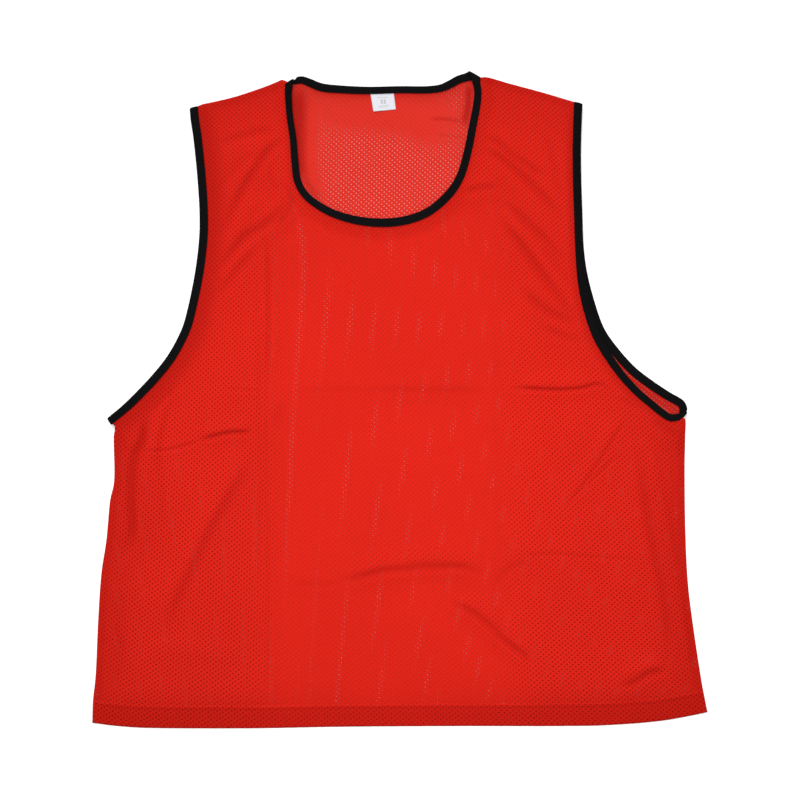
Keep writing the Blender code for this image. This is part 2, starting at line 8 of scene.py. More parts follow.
import logging
import math
from collections.abc import Sequence
from dataclasses import dataclass, field
from enum import Enum
from functools import cached_property
from typing import NamedTuple

import bpy
import numpy as np
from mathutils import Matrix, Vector, noise
from mathutils.geometry import delaunay_2d_cdt


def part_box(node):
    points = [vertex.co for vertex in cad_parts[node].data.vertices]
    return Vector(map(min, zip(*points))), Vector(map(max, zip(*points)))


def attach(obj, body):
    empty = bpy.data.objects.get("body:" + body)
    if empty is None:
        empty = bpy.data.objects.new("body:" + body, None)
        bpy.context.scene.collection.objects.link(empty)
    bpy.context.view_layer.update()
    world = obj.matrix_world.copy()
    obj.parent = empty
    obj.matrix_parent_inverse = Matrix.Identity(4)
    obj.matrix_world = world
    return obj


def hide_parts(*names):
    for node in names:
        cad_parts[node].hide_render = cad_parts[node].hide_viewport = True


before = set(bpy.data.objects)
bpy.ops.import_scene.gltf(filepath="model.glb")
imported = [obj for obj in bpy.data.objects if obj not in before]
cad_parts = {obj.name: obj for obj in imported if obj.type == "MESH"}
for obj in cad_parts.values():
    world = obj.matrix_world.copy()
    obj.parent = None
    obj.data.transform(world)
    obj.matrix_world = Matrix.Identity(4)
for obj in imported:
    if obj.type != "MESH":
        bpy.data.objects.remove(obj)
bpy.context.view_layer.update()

LOG = logging.getLogger("training_bib")

Array = np.ndarray
Plan = tuple[float, float]
Colour = tuple[float, float, float]
Output = bpy.types.NodeSocket

MM = 0.001
TINY = 1e-9
SEED = 7

# Heights of the solids' cloth, in millimetres
BAND_HALF = 1.8  # half a folded tape's thickness
BACK_BAND_Z = 1.8
FRONT_BAND_Z = 5.7
NECK_BAND_Z = 3.6
CREASE_RISE = (FRONT_BAND_Z - BACK_BAND_Z) / 2
CREASE_OUT = 0.9  # how far a crease's middle line stands out in plan
CREASE_PRESSED = 0.5  # share of a tape's thickness that is left at a crease
SLOT_HALF = 0.6  # half the room inside a folded tape

# Cloth
MESH_WALL = 0.22
BACK_Z = 0.18  # middle of the back's cloth
LAYER_STEP = 0.27  # from one layer of cloth to the next
HEM_STEP = 0.42  # and in the hem
HEM_DEPTH = 23.5
HEM_ROWS = (19.3, 25.9)  # the two rows of stitches, from the hem's edge
LIP_SHARE = 0.85  # how high a trough's lips are, to its depth
LIP_REACH = 3.0  # how far they reach, in the trough's half widths
CORNER_SHARE = 0.3  # of a fan, where the cloth goes round a tape's corner
GRID = 3.9  # between points of the cloth
ROW_STEP = 2.9  # between points along a row
LINE_STEP = 7.0  # between points of the lines that shape it


class Slot(Enum):
    """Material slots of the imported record."""

    MESH = "red_mesh"
    TAPE = "black_binding"
    LABEL = "label_satin"


class Crease(NamedTuple):
    """Ends of the line that a tape folds over about: on its attached edge and on its free edge."""

    attached_x: float
    attached_y: float
    free_x: float
    free_y: float


class BandRow(NamedTuple):
    """One place on a tape's middle line."""

    x: float
    y: float
    z: float
    half_width: float


def level_rows(z: float, half_width: float, places: Sequence[Plan]) -> tuple[BandRow, ...]:
    """Places of a tape that keeps its level and its width."""
    return tuple(BandRow(x, y, z, half_width) for x, y in places)


class Fold(NamedTuple):
    """A soft ridge and its half widths left and right of its run."""

    height: float
    left: float
    right: float
    route: tuple[Plan, ...]


class Trough(NamedTuple):
    """A trough between soft lips, its half widths, and how dark the painted shade in it is."""

    depth: float
    left: float
    right: float
    tone: float
    route: tuple[Plan, ...]


CREASES = {
    "neck_left": Crease(-126.2, 345.8, -116.6, 352.3),
    "neck_right": Crease(88.3, 353.2, 74.8, 360.9),
    "shoulder_left": Crease(-221.9, 321.7, -231.1, 319.3),
    "shoulder_right": Crease(191.0, 326.5, 200.6, 324.3),
    "armpit_left": Crease(-316.1, -26.5, -321.0, -19.4),
    "armpit_right": Crease(305.6, -22.5, 315.3, -13.1),
}
NECK_FRONT = (
    BandRow(-122.7, 338.5, FRONT_BAND_Z, 3.9),
    BandRow(-122.3, 328.0, FRONT_BAND_Z, 3.7),
    BandRow(-121.0, 311.0, 5.0, 3.6),
    BandRow(-117.6, 288.0, 4.0, 3.7),
    BandRow(-115.7, 264.0, NECK_BAND_Z, 3.9),
    BandRow(-112.6, 241.0, NECK_BAND_Z, 4.0),
    BandRow(-101.8, 223.2, NECK_BAND_Z, 4.1),
    BandRow(-77.7, 207.1, NECK_BAND_Z, 4.3),
    BandRow(-49.5, 198.0, NECK_BAND_Z, 4.6),
    BandRow(-20.9, 194.9, NECK_BAND_Z, 4.8),
    BandRow(6.5, 197.7, NECK_BAND_Z, 4.8),
    BandRow(31.3, 207.1, NECK_BAND_Z, 4.7),
    BandRow(53.0, 225.4, NECK_BAND_Z, 4.6),
    BandRow(66.6, 246.6, NECK_BAND_Z, 4.4),
    BandRow(74.8, 274.8, 4.0, 4.3),
    BandRow(79.8, 300.3, 5.0, 4.2),
    BandRow(84.3, 324.0, FRONT_BAND_Z, 4.1),
    BandRow(85.4, 341.0, FRONT_BAND_Z, 4.0),
)
NECK_BACK = (
    BandRow(66.0, 353.2, BACK_BAND_Z, 4.5),
    BandRow(55.0, 347.4, BACK_BAND_Z, 4.5),
    BandRow(44.0, 343.0, BACK_BAND_Z, 4.2),
    BandRow(27.5, 341.3, BACK_BAND_Z, 4.1),
    BandRow(0.0, 341.5, BACK_BAND_Z, 4.0),
    BandRow(-35.0, 340.6, BACK_BAND_Z, 4.2),
    BandRow(-66.0, 341.9, BACK_BAND_Z, 4.4),
    BandRow(-86.0, 344.0, BACK_BAND_Z, 4.6),
    BandRow(-100.0, 349.4, BACK_BAND_Z, 4.4),
    BandRow(-109.0, 352.2, BACK_BAND_Z, 4.1),
)
ARM_LEFT = (
    *level_rows(FRONT_BAND_Z, 4.7, (
        (-225.2, 307.0), (-222.1, 286.0), (-217.9, 244.0), (-215.6, 205.0), (-216.4, 173.0),
        (-221.9, 132.0), (-231.6, 88.0), (-240.2, 66.0), (-253.0, 44.0), (-270.8, 22.0),
    )),
    BandRow(-291.5, 0.5, FRONT_BAND_Z, 4.6),
    BandRow(-304.5, -11.5, FRONT_BAND_Z, 4.4),
)
# The two layers of the right armhole lie on each other here, and part further down.
RIGHT_STRAP = ((195.1, 308.0), (194.2, 275.0), (194.5, 242.0), (195.6, 209.0))
ARM_RIGHT_FRONT = (
    *level_rows(FRONT_BAND_Z, 4.7, (*RIGHT_STRAP, (196.9, 170.5), (199.6, 132.0), (206.2, 99.0))),
    BandRow(218.2, 66.0, FRONT_BAND_Z, 4.6),
    BandRow(239.3, 33.0, 4.9, 4.3),
    BandRow(259.0, 10.5, 4.4, 4.1),
    BandRow(275.2, -3.6, 4.4, 4.0),
    BandRow(288.0, -14.0, 4.9, 4.0),
    BandRow(297.5, -19.4, FRONT_BAND_Z, 4.0),
)
ARM_RIGHT_BACK = (
    BandRow(311.8, -10.6, BACK_BAND_Z, 4.3),
    BandRow(309.8, -4.6, BACK_BAND_Z, 4.4),
    BandRow(304.2, -0.6, BACK_BAND_Z, 4.5),
    BandRow(295.0, 4.4, BACK_BAND_Z, 4.6),
    *level_rows(BACK_BAND_Z, 4.7, (
        (275.0, 17.6), (255.3, 33.0), (235.5, 55.0), (220.0, 78.0), (208.8, 110.0), (200.8, 143.0),
        (196.9, 176.0), *reversed(RIGHT_STRAP),
    )),
)

# The outline where the panels are sewn to each other, anticlockwise seen from above: x, y.
HEM_EDGE = (
    (-338.8, -355.5), (-308.0, -359.2), (-268.0, -361.2), (-165.0, -361.5), (-66.0, -359.8),
    (60.0, -359.0), (176.0, -359.0), (232.0, -357.8), (290.0, -352.9), (338.6, -343.8),
)
SIDE_RIGHT = (
    (338.6, -343.8), (331.8, -308.0), (322.6, -247.0), (316.8, -198.0), (314.2, -140.0),
    (313.5, -80.0), (314.0, -42.0), (314.2, -26.0), (313.8, -21.0),
)
CORNER_ARMPIT_RIGHT = ((311.0, -18.7), (306.5, -23.2))
CORNER_SHOULDER_RIGHT = ((191.0, 327.5),)
SHOULDER_RIGHT = ((188.5, 329.0), (157.3, 338.6), (121.0, 348.4), (102.0, 354.0), (92.6, 355.4))
CORNER_NECK_RIGHT = ((88.9, 354.2),)
CORNER_NECK_LEFT = ((-126.8, 346.8), (-123.2, 349.3))
SHOULDER_LEFT = (
    (-126.8, 351.4), (-130.4, 351.9), (-138.0, 349.2), (-155.0, 342.8), (-184.0, 333.4), (-217.0, 325.6),
)
CORNER_SHOULDER_LEFT = ((-221.8, 322.9),)
SIDE_LEFT = (
    (-313.8, -28.6), (-313.7, -34.0), (-315.2, -44.0), (-314.8, -88.0), (-319.5, -112.0),
    (-323.4, -154.0), (-329.0, -192.0), (-332.4, -242.0), (-335.0, -300.0), (-338.0, -330.0),
    (-338.8, -355.5),
)

# Soft ridges of the front.
FRONT_FOLDS = (
    Fold(1.2, 8.0, 5.0, ((-310, -44), (-316, -110), (-321, -165))),
    Fold(1.5, 8.0, 8.0, ((-261, -6), (-277, -77), (-280, -154))),
    Fold(2.2, 9.0, 15.0, ((-160, -51), (-173, -66), (-198, -113), (-222, -160), (-242, -201), (-258, -240))),
    Fold(1.6, 8.0, 8.0, ((-147, 224), (-169, 205), (-193, 163))),
    Fold(1.2, 7.0, 7.0, ((-157, 264), (-179, 238), (-194, 213))),
    Fold(1.2, 9.0, 9.0, ((-141, 279), (-176, 273), (-196, 257))),
    Fold(1.0, 8.0, 8.0, ((-156, 165), (-178, 152), (-196, 128))),
    Fold(1.6, 9.0, 9.0, ((95, 261), (125, 235), (156, 200), (177, 173))),
    Fold(1.2, 6.0, 6.0, ((108, 207), (141, 173), (172, 132), (189, 107))),
    Fold(1.2, 7.0, 7.0, ((99, 299), (132, 277), (164, 246))),
    Fold(1.2, 8.0, 8.0, ((132, 134), (160, 114), (185, 97))),
    Fold(1.9, 5.0, 4.0, (
        (264, -24), (280, -77), (292, -132), (302, -187), (310, -233), (317, -286), (321, -317)
    )),
    Fold(1.7, 11.0, 6.0, ((-61, -191), (-11, -178), (44, -173), (90, -180))),
    Fold(1.6, 11.0, 6.0, ((66, -216), (99, -234), (132, -265), (148, -280))),
    Fold(1.4, 9.0, 5.0, ((127, 20), (176, 19), (220, 24))),
    Fold(1.5, 9.0, 5.0, ((242, -305), (270, -294), (288, -288))),
    Fold(1.3, 9.0, 5.0, ((-220, -37), (-193, -30), (-163, -29))),
    Fold(1.1, 9.0, 7.0, ((244, -11), (218, -55), (185, -101))),
    Fold(1.0, 12.0, 12.0, ((-286, -280), (-231, -273), (-176, -288))),
    Fold(0.9, 14.0, 14.0, ((150, -61), (190, -140), (205, -220))),
    Fold(0.8, 14.0, 14.0, ((248, -110), (251, -176), (264, -242))),
)
# Troughs of the front, and the creases of the way it was packed, each with painted shade along it.
FRONT_TROUGHS = (
    Trough(1.5, 4.1, 4.1, 0.24, ((-206, 277), (-189, 285), (-170, 290), (-152, 295), (-136, 292))),
    Trough(0.9, 4.1, 4.1, 0.12, ((-197, 229), (-183, 250), (-165, 270))),
    Trough(2.1, 4.3, 4.3, 0.35, (
        (-122, 294), (-129, 287), (-143, 275), (-154, 261), (-165, 243), (-176, 223), (-186, 204),
        (-194, 185), (-202, 167)
    )),
    Trough(2.1, 4.8, 4.8, 0.40, (
        (-124, 222), (-133, 207), (-152, 190), (-165, 183), (-176, 173), (-189, 157), (-200, 143), (-208, 128)
    )),
    Trough(1.3, 5.5, 5.5, 0.21, ((-152, 169), (-165, 158), (-178, 143), (-194, 123), (-208, 107))),
    Trough(0.9, 3.2, 3.2, 0.19, ((-142, 255), (-141, 242), (-135, 229))),
    Trough(1.8, 3.2, 4.1, 0.42, ((-128, 238), (-121, 229), (-119, 220), (-123, 207), (-136, 190))),
    Trough(0.9, 2.6, 2.6, 0.28, ((-150, 187), (-146, 165), (-145, 138), (-145, 88), (-146, 22))),
    Trough(0.6, 2.6, 2.6, 0.14, ((-146, 22), (-147, -55), (-145, -154), (-145, -242), (-145, -319))),
    Trough(0.5, 2.9, 2.9, 0.12, (
        (-157, 132), (-156, 77), (-155, 22), (-155, -22), (-153, -110), (-156, -220)
    )),
    Trough(2.1, 4.1, 4.3, 0.35, ((90, 277), (110, 266), (130, 250), (150, 231), (165, 215), (177, 199))),
    Trough(1.5, 3.6, 3.6, 0.24, ((91, 290), (108, 282), (123, 268), (141, 257), (157, 244))),
    Trough(1.2, 3.6, 3.6, 0.19, ((161, 292), (166, 270), (172, 240), (178, 224))),
    Trough(1.2, 3.6, 3.6, 0.19, ((148, 317), (162, 302), (178, 286))),
    Trough(1.4, 3.2, 4.3, 0.33, ((68, 229), (81, 232), (96, 234), (108, 235))),
    Trough(2.0, 4.3, 4.3, 0.33, ((110, 220), (127, 206), (145, 189), (163, 172), (176, 158), (185, 147))),
    Trough(2.1, 4.3, 4.8, 0.37, ((110, 196), (128, 176), (145, 152), (163, 128), (179, 107), (195, 88))),
    Trough(1.5, 4.3, 5.5, 0.28, ((134, 120), (154, 102), (172, 92), (187, 88), (200, 87))),
    Trough(1.3, 4.3, 4.3, 0.21, ((156, 79), (174, 72), (187, 67), (204, 68))),
    Trough(1.4, 4.1, 4.1, 0.24, ((154, 174), (170, 152), (183, 134), (190, 123))),
    Trough(2.1, 2.1, 2.6, 0.50, (
        (124, 13), (148, 12), (176, 11), (201, 13), (218, 18), (227, 14), (234, 10)
    )),
    Trough(0.4, 5.5, 5.5, 0.10, ((107, 193), (106, 110), (107, 22), (108, -55), (109, -176), (108, -319))),
    Trough(3.2, 5.0, 4.4, 0.80, (
        (-273, -6), (-280, -22), (-284, -44), (-293, -64), (-296, -88), (-296, -116), (-295, -138),
        (-298, -160), (-304, -174)
    )),
    Trough(2.1, 2.9, 2.9, 0.39, ((-244, 16), (-261, 0), (-273, -15))),
    Trough(1.1, 3.1, 3.1, 0.19, (
        (-251, 2), (-257, -20), (-262, -44), (-264, -66), (-261, -105), (-261, -148)
    )),
    Trough(2.1, 2.3, 2.9, 0.47, ((-220, -45), (-204, -40), (-185, -36), (-163, -36))),
    Trough(1.1, 2.3, 2.3, 0.22, ((-280, -57), (-253, -55), (-220, -45))),
    Trough(0.9, 6.0, 6.0, 0.32, (
        (-165, -70), (-185, -103), (-207, -141), (-226, -180), (-246, -224), (-258, -257)
    )),
    Trough(1.6, 3.1, 3.1, 0.41, ((-319, -189), (-321, -220), (-317, -251), (-308, -275))),
    Trough(0.6, 9.0, 9.0, 0.36, ((-310, -193), (-309, -242), (-311, -286), (-317, -324))),
    Trough(1.0, 4.0, 4.0, 0.48, ((-310, -31), (-304, -44), (-300, -61))),
    Trough(1.6, 4.0, 7.5, 0.44, (
        (264, -55), (270, -99), (277, -143), (286, -187), (294, -226), (297, -264), (298, -292)
    )),
    Trough(0.8, 4.0, 4.0, 0.40, ((304, -50), (304, -110), (307, -176), (312, -220))),
    Trough(1.2, 7.0, 5.0, 0.56, ((275, -20), (292, -30), (307, -40))),
    Trough(0.9, 2.3, 2.3, 0.19, ((251, -20), (233, -46), (217, -72), (198, -99), (178, -123))),
    Trough(0.7, 2.3, 2.3, 0.11, ((240, -61), (218, -82), (193, -110))),
    Trough(1.4, 3.1, 3.1, 0.33, ((239, 4), (255, -4), (275, -13))),
    Trough(1.8, 3.1, 4.4, 0.47, ((244, -315), (260, -310), (273, -301), (292, -298))),
    Trough(0.6, 2.6, 2.6, 0.14, ((121, -172), (176, -170), (220, -174), (264, -176))),
    Trough(0.5, 2.3, 2.3, 0.28, ((319, -264), (322, -297), (327, -330))),
    Trough(2.1, 2.9, 4.2, 0.44, (
        (-66, -201), (-44, -195), (-22, -189), (6, -186), (38, -184), (68, -184), (94, -193)
    )),
    Trough(0.7, 3.1, 3.1, 0.14, ((-119, -202), (-90, -205), (-66, -201))),
    Trough(2.1, 3.1, 3.6, 0.47, ((53, -221), (75, -232), (95, -246), (113, -264), (130, -277), (144, -290))),
    Trough(0.6, 5.0, 5.0, 0.24, ((106, -209), (112, -193), (127, -182), (145, -176))),
    Trough(0.7, 2.9, 2.9, 0.22, ((-125, 5), (-107, 10), (-69, 11), (-10, 10), (50, 9), (104, 8))),
    Trough(0.5, 5.0, 5.0, 0.20, ((-22, 10), (33, 9), (99, 8))),
    Trough(0.5, 2.3, 2.3, 0.11, ((-193, 12), (-152, 9))),
    Trough(0.5, 6.0, 6.0, 0.20, ((-128, 0), (-132, -16), (-136, -33))),
)
# Folds of the back that show inside the neck, each with painted shade along it.
BACK_TROUGHS = (
    Trough(0.8, 9.5, 9.5, 1.0, ((-112, 352), (-112, 324), (-113, 297), (-113, 262), (-110, 232))),
    Trough(0.5, 3.0, 5.0, 0.5, ((-110, 264), (-103, 240), (-86, 220))),
    Trough(0.8, 4.0, 4.0, 0.9, ((76, 350), (75, 324), (70, 300))),
    Trough(0.8, 2.0, 2.0, 0.5, ((33, 309), (51, 309), (69, 306))),
    Trough(0.6, 2.0, 2.0, 0.25, ((40, 292), (55, 290), (73, 288))),
)
# Where the back's holes are pulled shut inside the neck: zones with a tone and no depth.
BACK_SHUT = (
    Trough(0.0, 6.0, 9.0, 0.85, ((-95, 345), (-96, 318), (-98, 290), (-99, 262), (-94, 240), (-84, 226))),
    Trough(0.0, 24.0, 24.0, 0.8, ((-96, 326), (-70, 326), (-30, 322), (10, 316), (36, 306), (60, 292))),
)
LABEL_CORNERS = ((-32.4, 335.8), (-6.6, 336.8), (-4.5, 320.0), (-29.3, 317.6))


def plan_shift() -> Array:
    """Where the tables' origin lies in the frame, from the label's corner there.

    Returns:
        x, y and z in millimetres.
    """
    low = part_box("size_label")[0]
    corner = np.min(LABEL_CORNERS, axis=0)
    return np.array((low[0] / MM - corner[0], low[1] / MM - corner[1], 0.0))


SHIFT = plan_shift()


def ease(value: Array | float) -> Array:
    """Ease a share of 0 to 1 in and out, and hold it there beyond."""
    value = np.clip(value, 0.0, 1.0)
    return value * value * (3.0 - 2.0 * value)


def blend(start: Array, end: Array, share: Array | float) -> Array:
    """Mix two arrays by a share of 0 to 1."""
    return start + (end - start) * share


def smooth_route(rows: Sequence[Sequence[float]], step: float) -> Array:
    """Rows spaced evenly on a smooth curve through the given rows.

    Args:
        rows: x, y and whatever else runs along the route.
        step: rough distance between the new rows.

    Returns:
        One new row a line.
    """
    given = np.asarray(rows, float)
    padded = np.vstack((given[:1], given, given[-1:]))
    share = np.linspace(0.0, 1.0, 17)[:-1, None]
    pieces = []
    for a, b, c, d in zip(padded, padded[1:], padded[2:], padded[3:]):
        square, cube = 2 * a - 5 * b + 4 * c - d, 3 * b - a - 3 * c + d
        pieces.append(b + 0.5 * ((c - a) * share + square * share**2 + cube * share**3))
    fine = np.vstack((*pieces, given[-1:]))
    travelled = distances(fine[:, :2])
    count = max(1, round(travelled[-1] / step))
    wanted = np.linspace(0.0, travelled[-1], count + 1)
    return np.column_stack([np.interp(wanted, travelled, column) for column in fine.T])


def distances(points: Array) -> Array:
    """Distance travelled to each point of a route."""
    return np.concatenate(([0.0], np.cumsum(np.linalg.norm(np.diff(points, axis=0), axis=1))))


def unit(vectors: Array) -> Array:
    """Vectors of length 1, along the last axis."""
    return vectors / np.maximum(np.linalg.norm(vectors, axis=-1, keepdims=True), TINY)


def ripple(places: Array, size: float, seed: int) -> Array:
    """Smooth noise from -1 to 1 over the plan.

    Args:
        places: points in plan.
        size: distance between its bumps.
        seed: which noise.

    Returns:
        One value a point.
    """
    return np.array([noise.noise(Vector((x / size, y / size, seed * 7.3))) for x, y in places])


class Line:
    """A route in plan that answers for many places at once."""

    def __init__(self, points: Array) -> None:
        """Take the route's points, whose first two columns are x and y."""
        self.points = np.asarray(points, float)
        self.plan = self.points[:, :2]
        self.travelled = distances(self.plan)

    @property
    def length(self) -> float:
        """Length of the route in plan."""
        return float(self.travelled[-1])

    def near(self, places: Array) -> tuple[Array, Array, Array]:
        """Find the nearest place of the route.

        Args:
            places: points in plan.

        Returns:
            The gap, the side (1 left of the run, -1 right) and the distance along the route.
        """
        gap = np.full(len(places), np.inf)
        side = np.ones(len(places))
        along = np.zeros(len(places))
        for start, end, travelled in zip(self.plan, self.plan[1:], self.travelled):
            run = end - start
            away = places - start
            share = np.clip(away @ run / max(run @ run, TINY), 0.0, 1.0)
            away = away - share[:, None] * run
            far = np.hypot(away[:, 0], away[:, 1])
            closer = far < gap
            gap[closer] = far[closer]
            side[closer] = np.where(run[0] * away[closer, 1] - run[1] * away[closer, 0] >= 0.0, 1.0, -1.0)
            along[closer] = travelled + share[closer] * math.hypot(*run)
        return gap, side, along

    def value(self, along: Array, column: int) -> Array:
        """A column of the route's points at distances along it."""
        return np.interp(along, self.travelled, self.points[:, column])

    def beside(self, offset: float, step: float) -> Array:
        """Points in a row beside the route, to its left where the offset is positive."""
        places = smooth_route(self.plan, step)
        run = unit(np.gradient(places, axis=0))
        return places + offset * np.column_stack((-run[:, 1], run[:, 0]))


def lined(shapes: Sequence["Fold | Trough"]) -> "list[tuple[Fold | Trough, Line]]":
    """Folds or troughs, each with its run as a smooth line."""
    return [(shape, Line(smooth_route(shape.route, LINE_STEP))) for shape in shapes]


def beside_run(shape: Fold | Trough, line: Line, places: Array, reach: float) -> tuple[Array, Array, Array]:
    """Find the places close to a fold or a trough.

    Args:
        shape: the fold or trough.
        line: its run.
        places: points in plan.
        reach: how many half widths are close.

    Returns:
        Which places are close, their distance in half widths, and how strong the shape is beside them.
    """
    taper_rate, blunt = 3.8, 0.18
    margin = reach * max(shape.left, shape.right)
    low, high = line.plan.min(axis=0) - margin, line.plan.max(axis=0) + margin
    close = np.flatnonzero(((places > low) & (places < high)).all(axis=1))
    gap, side, along = line.near(places[close])
    share = along / line.length
    strength = ease(taper_rate * np.minimum(share, 1.0 - share) + blunt)
    return close, gap / np.where(side > 0, shape.left, shape.right), strength


def relief(places: Array, folds: Sequence[tuple[Fold, Line]]) -> Array:
    """What soft ridges add to the height at places in plan."""
    total = np.zeros(len(places))
    for fold, line in folds:
        close, gap, strength = beside_run(fold, line, places, 3.0)
        total[close] += fold.height * strength * np.exp(-(gap**2))
    return total


def sunk(places: Array, troughs: Sequence[tuple[Trough, Line]]) -> Array:
    """What troughs add to the height at places in plan: less in the middle, more on the lips."""
    total = np.zeros(len(places))
    for trough, line in troughs:
        close, gap, strength = beside_run(trough, line, places, 8.0)
        lips, middle = np.exp(-((gap / LIP_REACH) ** 2)), np.exp(-(gap**2))
        total[close] += trough.depth * strength * (LIP_SHARE * lips - (1.0 + LIP_SHARE / 2) * middle)
    return total


def deepened(places: Array, troughs: Sequence[tuple[Trough, Line]]) -> Array:
    """How strong the troughs' tone is at places in plan, from 0 to 1: the painted shade in them."""
    total = np.zeros(len(places))
    for trough, line in troughs:
        close, gap, strength = beside_run(trough, line, places, 2.0)
        total[close] = np.maximum(total[close], trough.tone * strength * np.exp(-(gap**3)))
    return total


def make_mesh(name: str, points: Array, faces: Array, cut: Array | None = None) -> bpy.types.Object:
    """Make a smooth mesh object from plan millimetres.

    Args:
        name: the object's name.
        points: one point a row, in the tables' millimetres.
        faces: triangles or squares, one a row.
        cut: place of each point on the flat cloth, in metres, kept as the UV map "cut".

    Returns:
        The object, linked to the scene.
    """
    mesh = bpy.data.meshes.new(name)
    points = (np.asarray(points, float) + SHIFT) * MM
    faces = np.asarray(faces, int)
    mesh.vertices.add(len(points))
    mesh.vertices.foreach_set("co", points.ravel())
    mesh.loops.add(faces.size)
    mesh.loops.foreach_set("vertex_index", faces.ravel())
    mesh.polygons.add(len(faces))
    mesh.polygons.foreach_set("loop_start", np.arange(0, faces.size, faces.shape[1]))
    mesh.update(calc_edges=True)
    mesh.shade_smooth()
    if cut is not None:
        layer = mesh.uv_layers.new(name="cut")
        layer.data.foreach_set("uv", cut[faces.ravel()].astype(np.float32).ravel())
    mesh.validate()
    item = bpy.data.objects.new(name, mesh)
    bpy.context.scene.collection.objects.link(item)
    return item


def point_normals(points: Array, faces: Array) -> Array:
    """Unit normals at the points of a mesh of triangles."""
    corner = points[faces]
    normal = np.cross(corner[:, 1] - corner[:, 0], corner[:, 2] - corner[:, 0])
    total = np.zeros_like(points)
    for column in range(3):
        np.add.at(total, faces[:, column], normal)
    return unit(total)


def thicken(points: Array, faces: Array, wall: float) -> tuple[Array, Array]:
    """Give a sheet of triangles a closed wall about its middle.

    Args:
        points: the sheet's points.
        faces: its triangles, anticlockwise seen from outside.
        wall: thickness.

    Returns:
        Points and triangles of the closed shell. The lower side's points follow the upper side's.
    """
    normal = point_normals(points, faces)
    count = len(points)
    edges = np.vstack((faces[:, (0, 1)], faces[:, (1, 2)], faces[:, (2, 0)]))
    key = edges[:, 0] * count + edges[:, 1]
    rim = edges[~np.isin(key, edges[:, 1] * count + edges[:, 0])]
    walls = np.vstack((
        np.column_stack((rim[:, 1], rim[:, 0], rim[:, 0] + count)),
        np.column_stack((rim[:, 1], rim[:, 0] + count, rim[:, 1] + count)),
    ))
    closed = np.vstack((faces, faces[:, ::-1] + count, walls))
    return np.vstack((points + normal * wall / 2, points - normal * wall / 2)), closed


def grid_faces(rows: int, columns: int) -> Array:
    """Triangles between rows of points, anticlockwise where the rows go up and the columns right."""
    corner = (np.arange(rows - 1)[:, None] * columns + np.arange(columns - 1)).ravel()
    across = corner + columns + 1
    return np.vstack((
        np.column_stack((corner, corner + 1, across)), np.column_stack((corner, across, across - 1)),
    ))


class Nodes:
    """Adds nodes to a tree, links them and sets their sockets."""

    def __init__(self, tree: bpy.types.NodeTree) -> None:
        """Take the tree to add to."""
        self.tree = tree

    def add(self, kind: str, sockets: dict | None = None, **settings: object) -> bpy.types.Node:
        """Add a node.

        Args:
            kind: its type name.
            sockets: values or other nodes' outputs, by input name or number.
            settings: its own properties.

        Returns:
            The node.
        """
        node = self.tree.nodes.new(kind)
        for name, value in settings.items():
            setattr(node, name, value)
        for key, value in (sockets or {}).items():
            if isinstance(value, Output):
                self.tree.links.new(value, node.inputs[key])
            else:
                node.inputs[key].default_value = value
        return node

    def math(self, operation: str, *values: object) -> Output:
        """Add a Math node on numbers or sockets and return its output."""
        return self.add("ShaderNodeMath", dict(enumerate(values)), operation=operation).outputs[0]

    def vector(self, operation: str, *values: object) -> Output:
        """Add a Vector Math node and return its output, a number for LENGTH and else a vector."""
        node = self.add("ShaderNodeVectorMath", dict(enumerate(values)), operation=operation)
        return node.outputs["Value" if operation == "LENGTH" else "Vector"]

    def remap(self, value: object, low: float, high: float, to_low: float, to_high: float) -> Output:
        """Map a number smoothly from one range to another and return the output."""
        sockets = {"Value": value, "From Min": low, "From Max": high, "To Min": to_low, "To Max": to_high}
        node = self.add("ShaderNodeMapRange", sockets, interpolation_type="SMOOTHSTEP")
        return node.outputs["Result"]

    def mix(self, share: object, low: object, high: object) -> Output:
        """Mix two colours and return the output."""
        node = self.add("ShaderNodeMix", {0: share, 6: low, 7: high}, data_type="RGBA")
        return node.outputs[2]

    def group(self, tree: bpy.types.NodeTree, sockets: dict) -> object:
        """Place a shared group, set its inputs and return its outputs."""
        return self.add("ShaderNodeGroup", sockets, node_tree=tree).outputs

    def link(self, output: Output, socket: bpy.types.NodeSocket) -> None:
        """Link an output to an input."""
        self.tree.links.new(output, socket)


def new_group(name: str, kind: str, inputs: dict[str, str], outputs: dict[str, str]) -> Nodes:
    """Start a node group.

    Args:
        name: the group's name.
        kind: ShaderNodeTree or GeometryNodeTree.
        inputs: socket types by name.
        outputs: socket types by name.

    Returns:
        The builder, whose tree has its input and output nodes, named input and output.
    """
    tree = bpy.data.node_groups.new(name, kind)
    for direction, sockets in (("INPUT", inputs), ("OUTPUT", outputs)):
        for label, socket in sockets.items():
            tree.interface.new_socket(label, in_out=direction, socket_type="NodeSocket" + socket)
    nodes = Nodes(tree)
    nodes.add("NodeGroupInput", name="input")
    nodes.add("NodeGroupOutput", name="output")
    return nodes


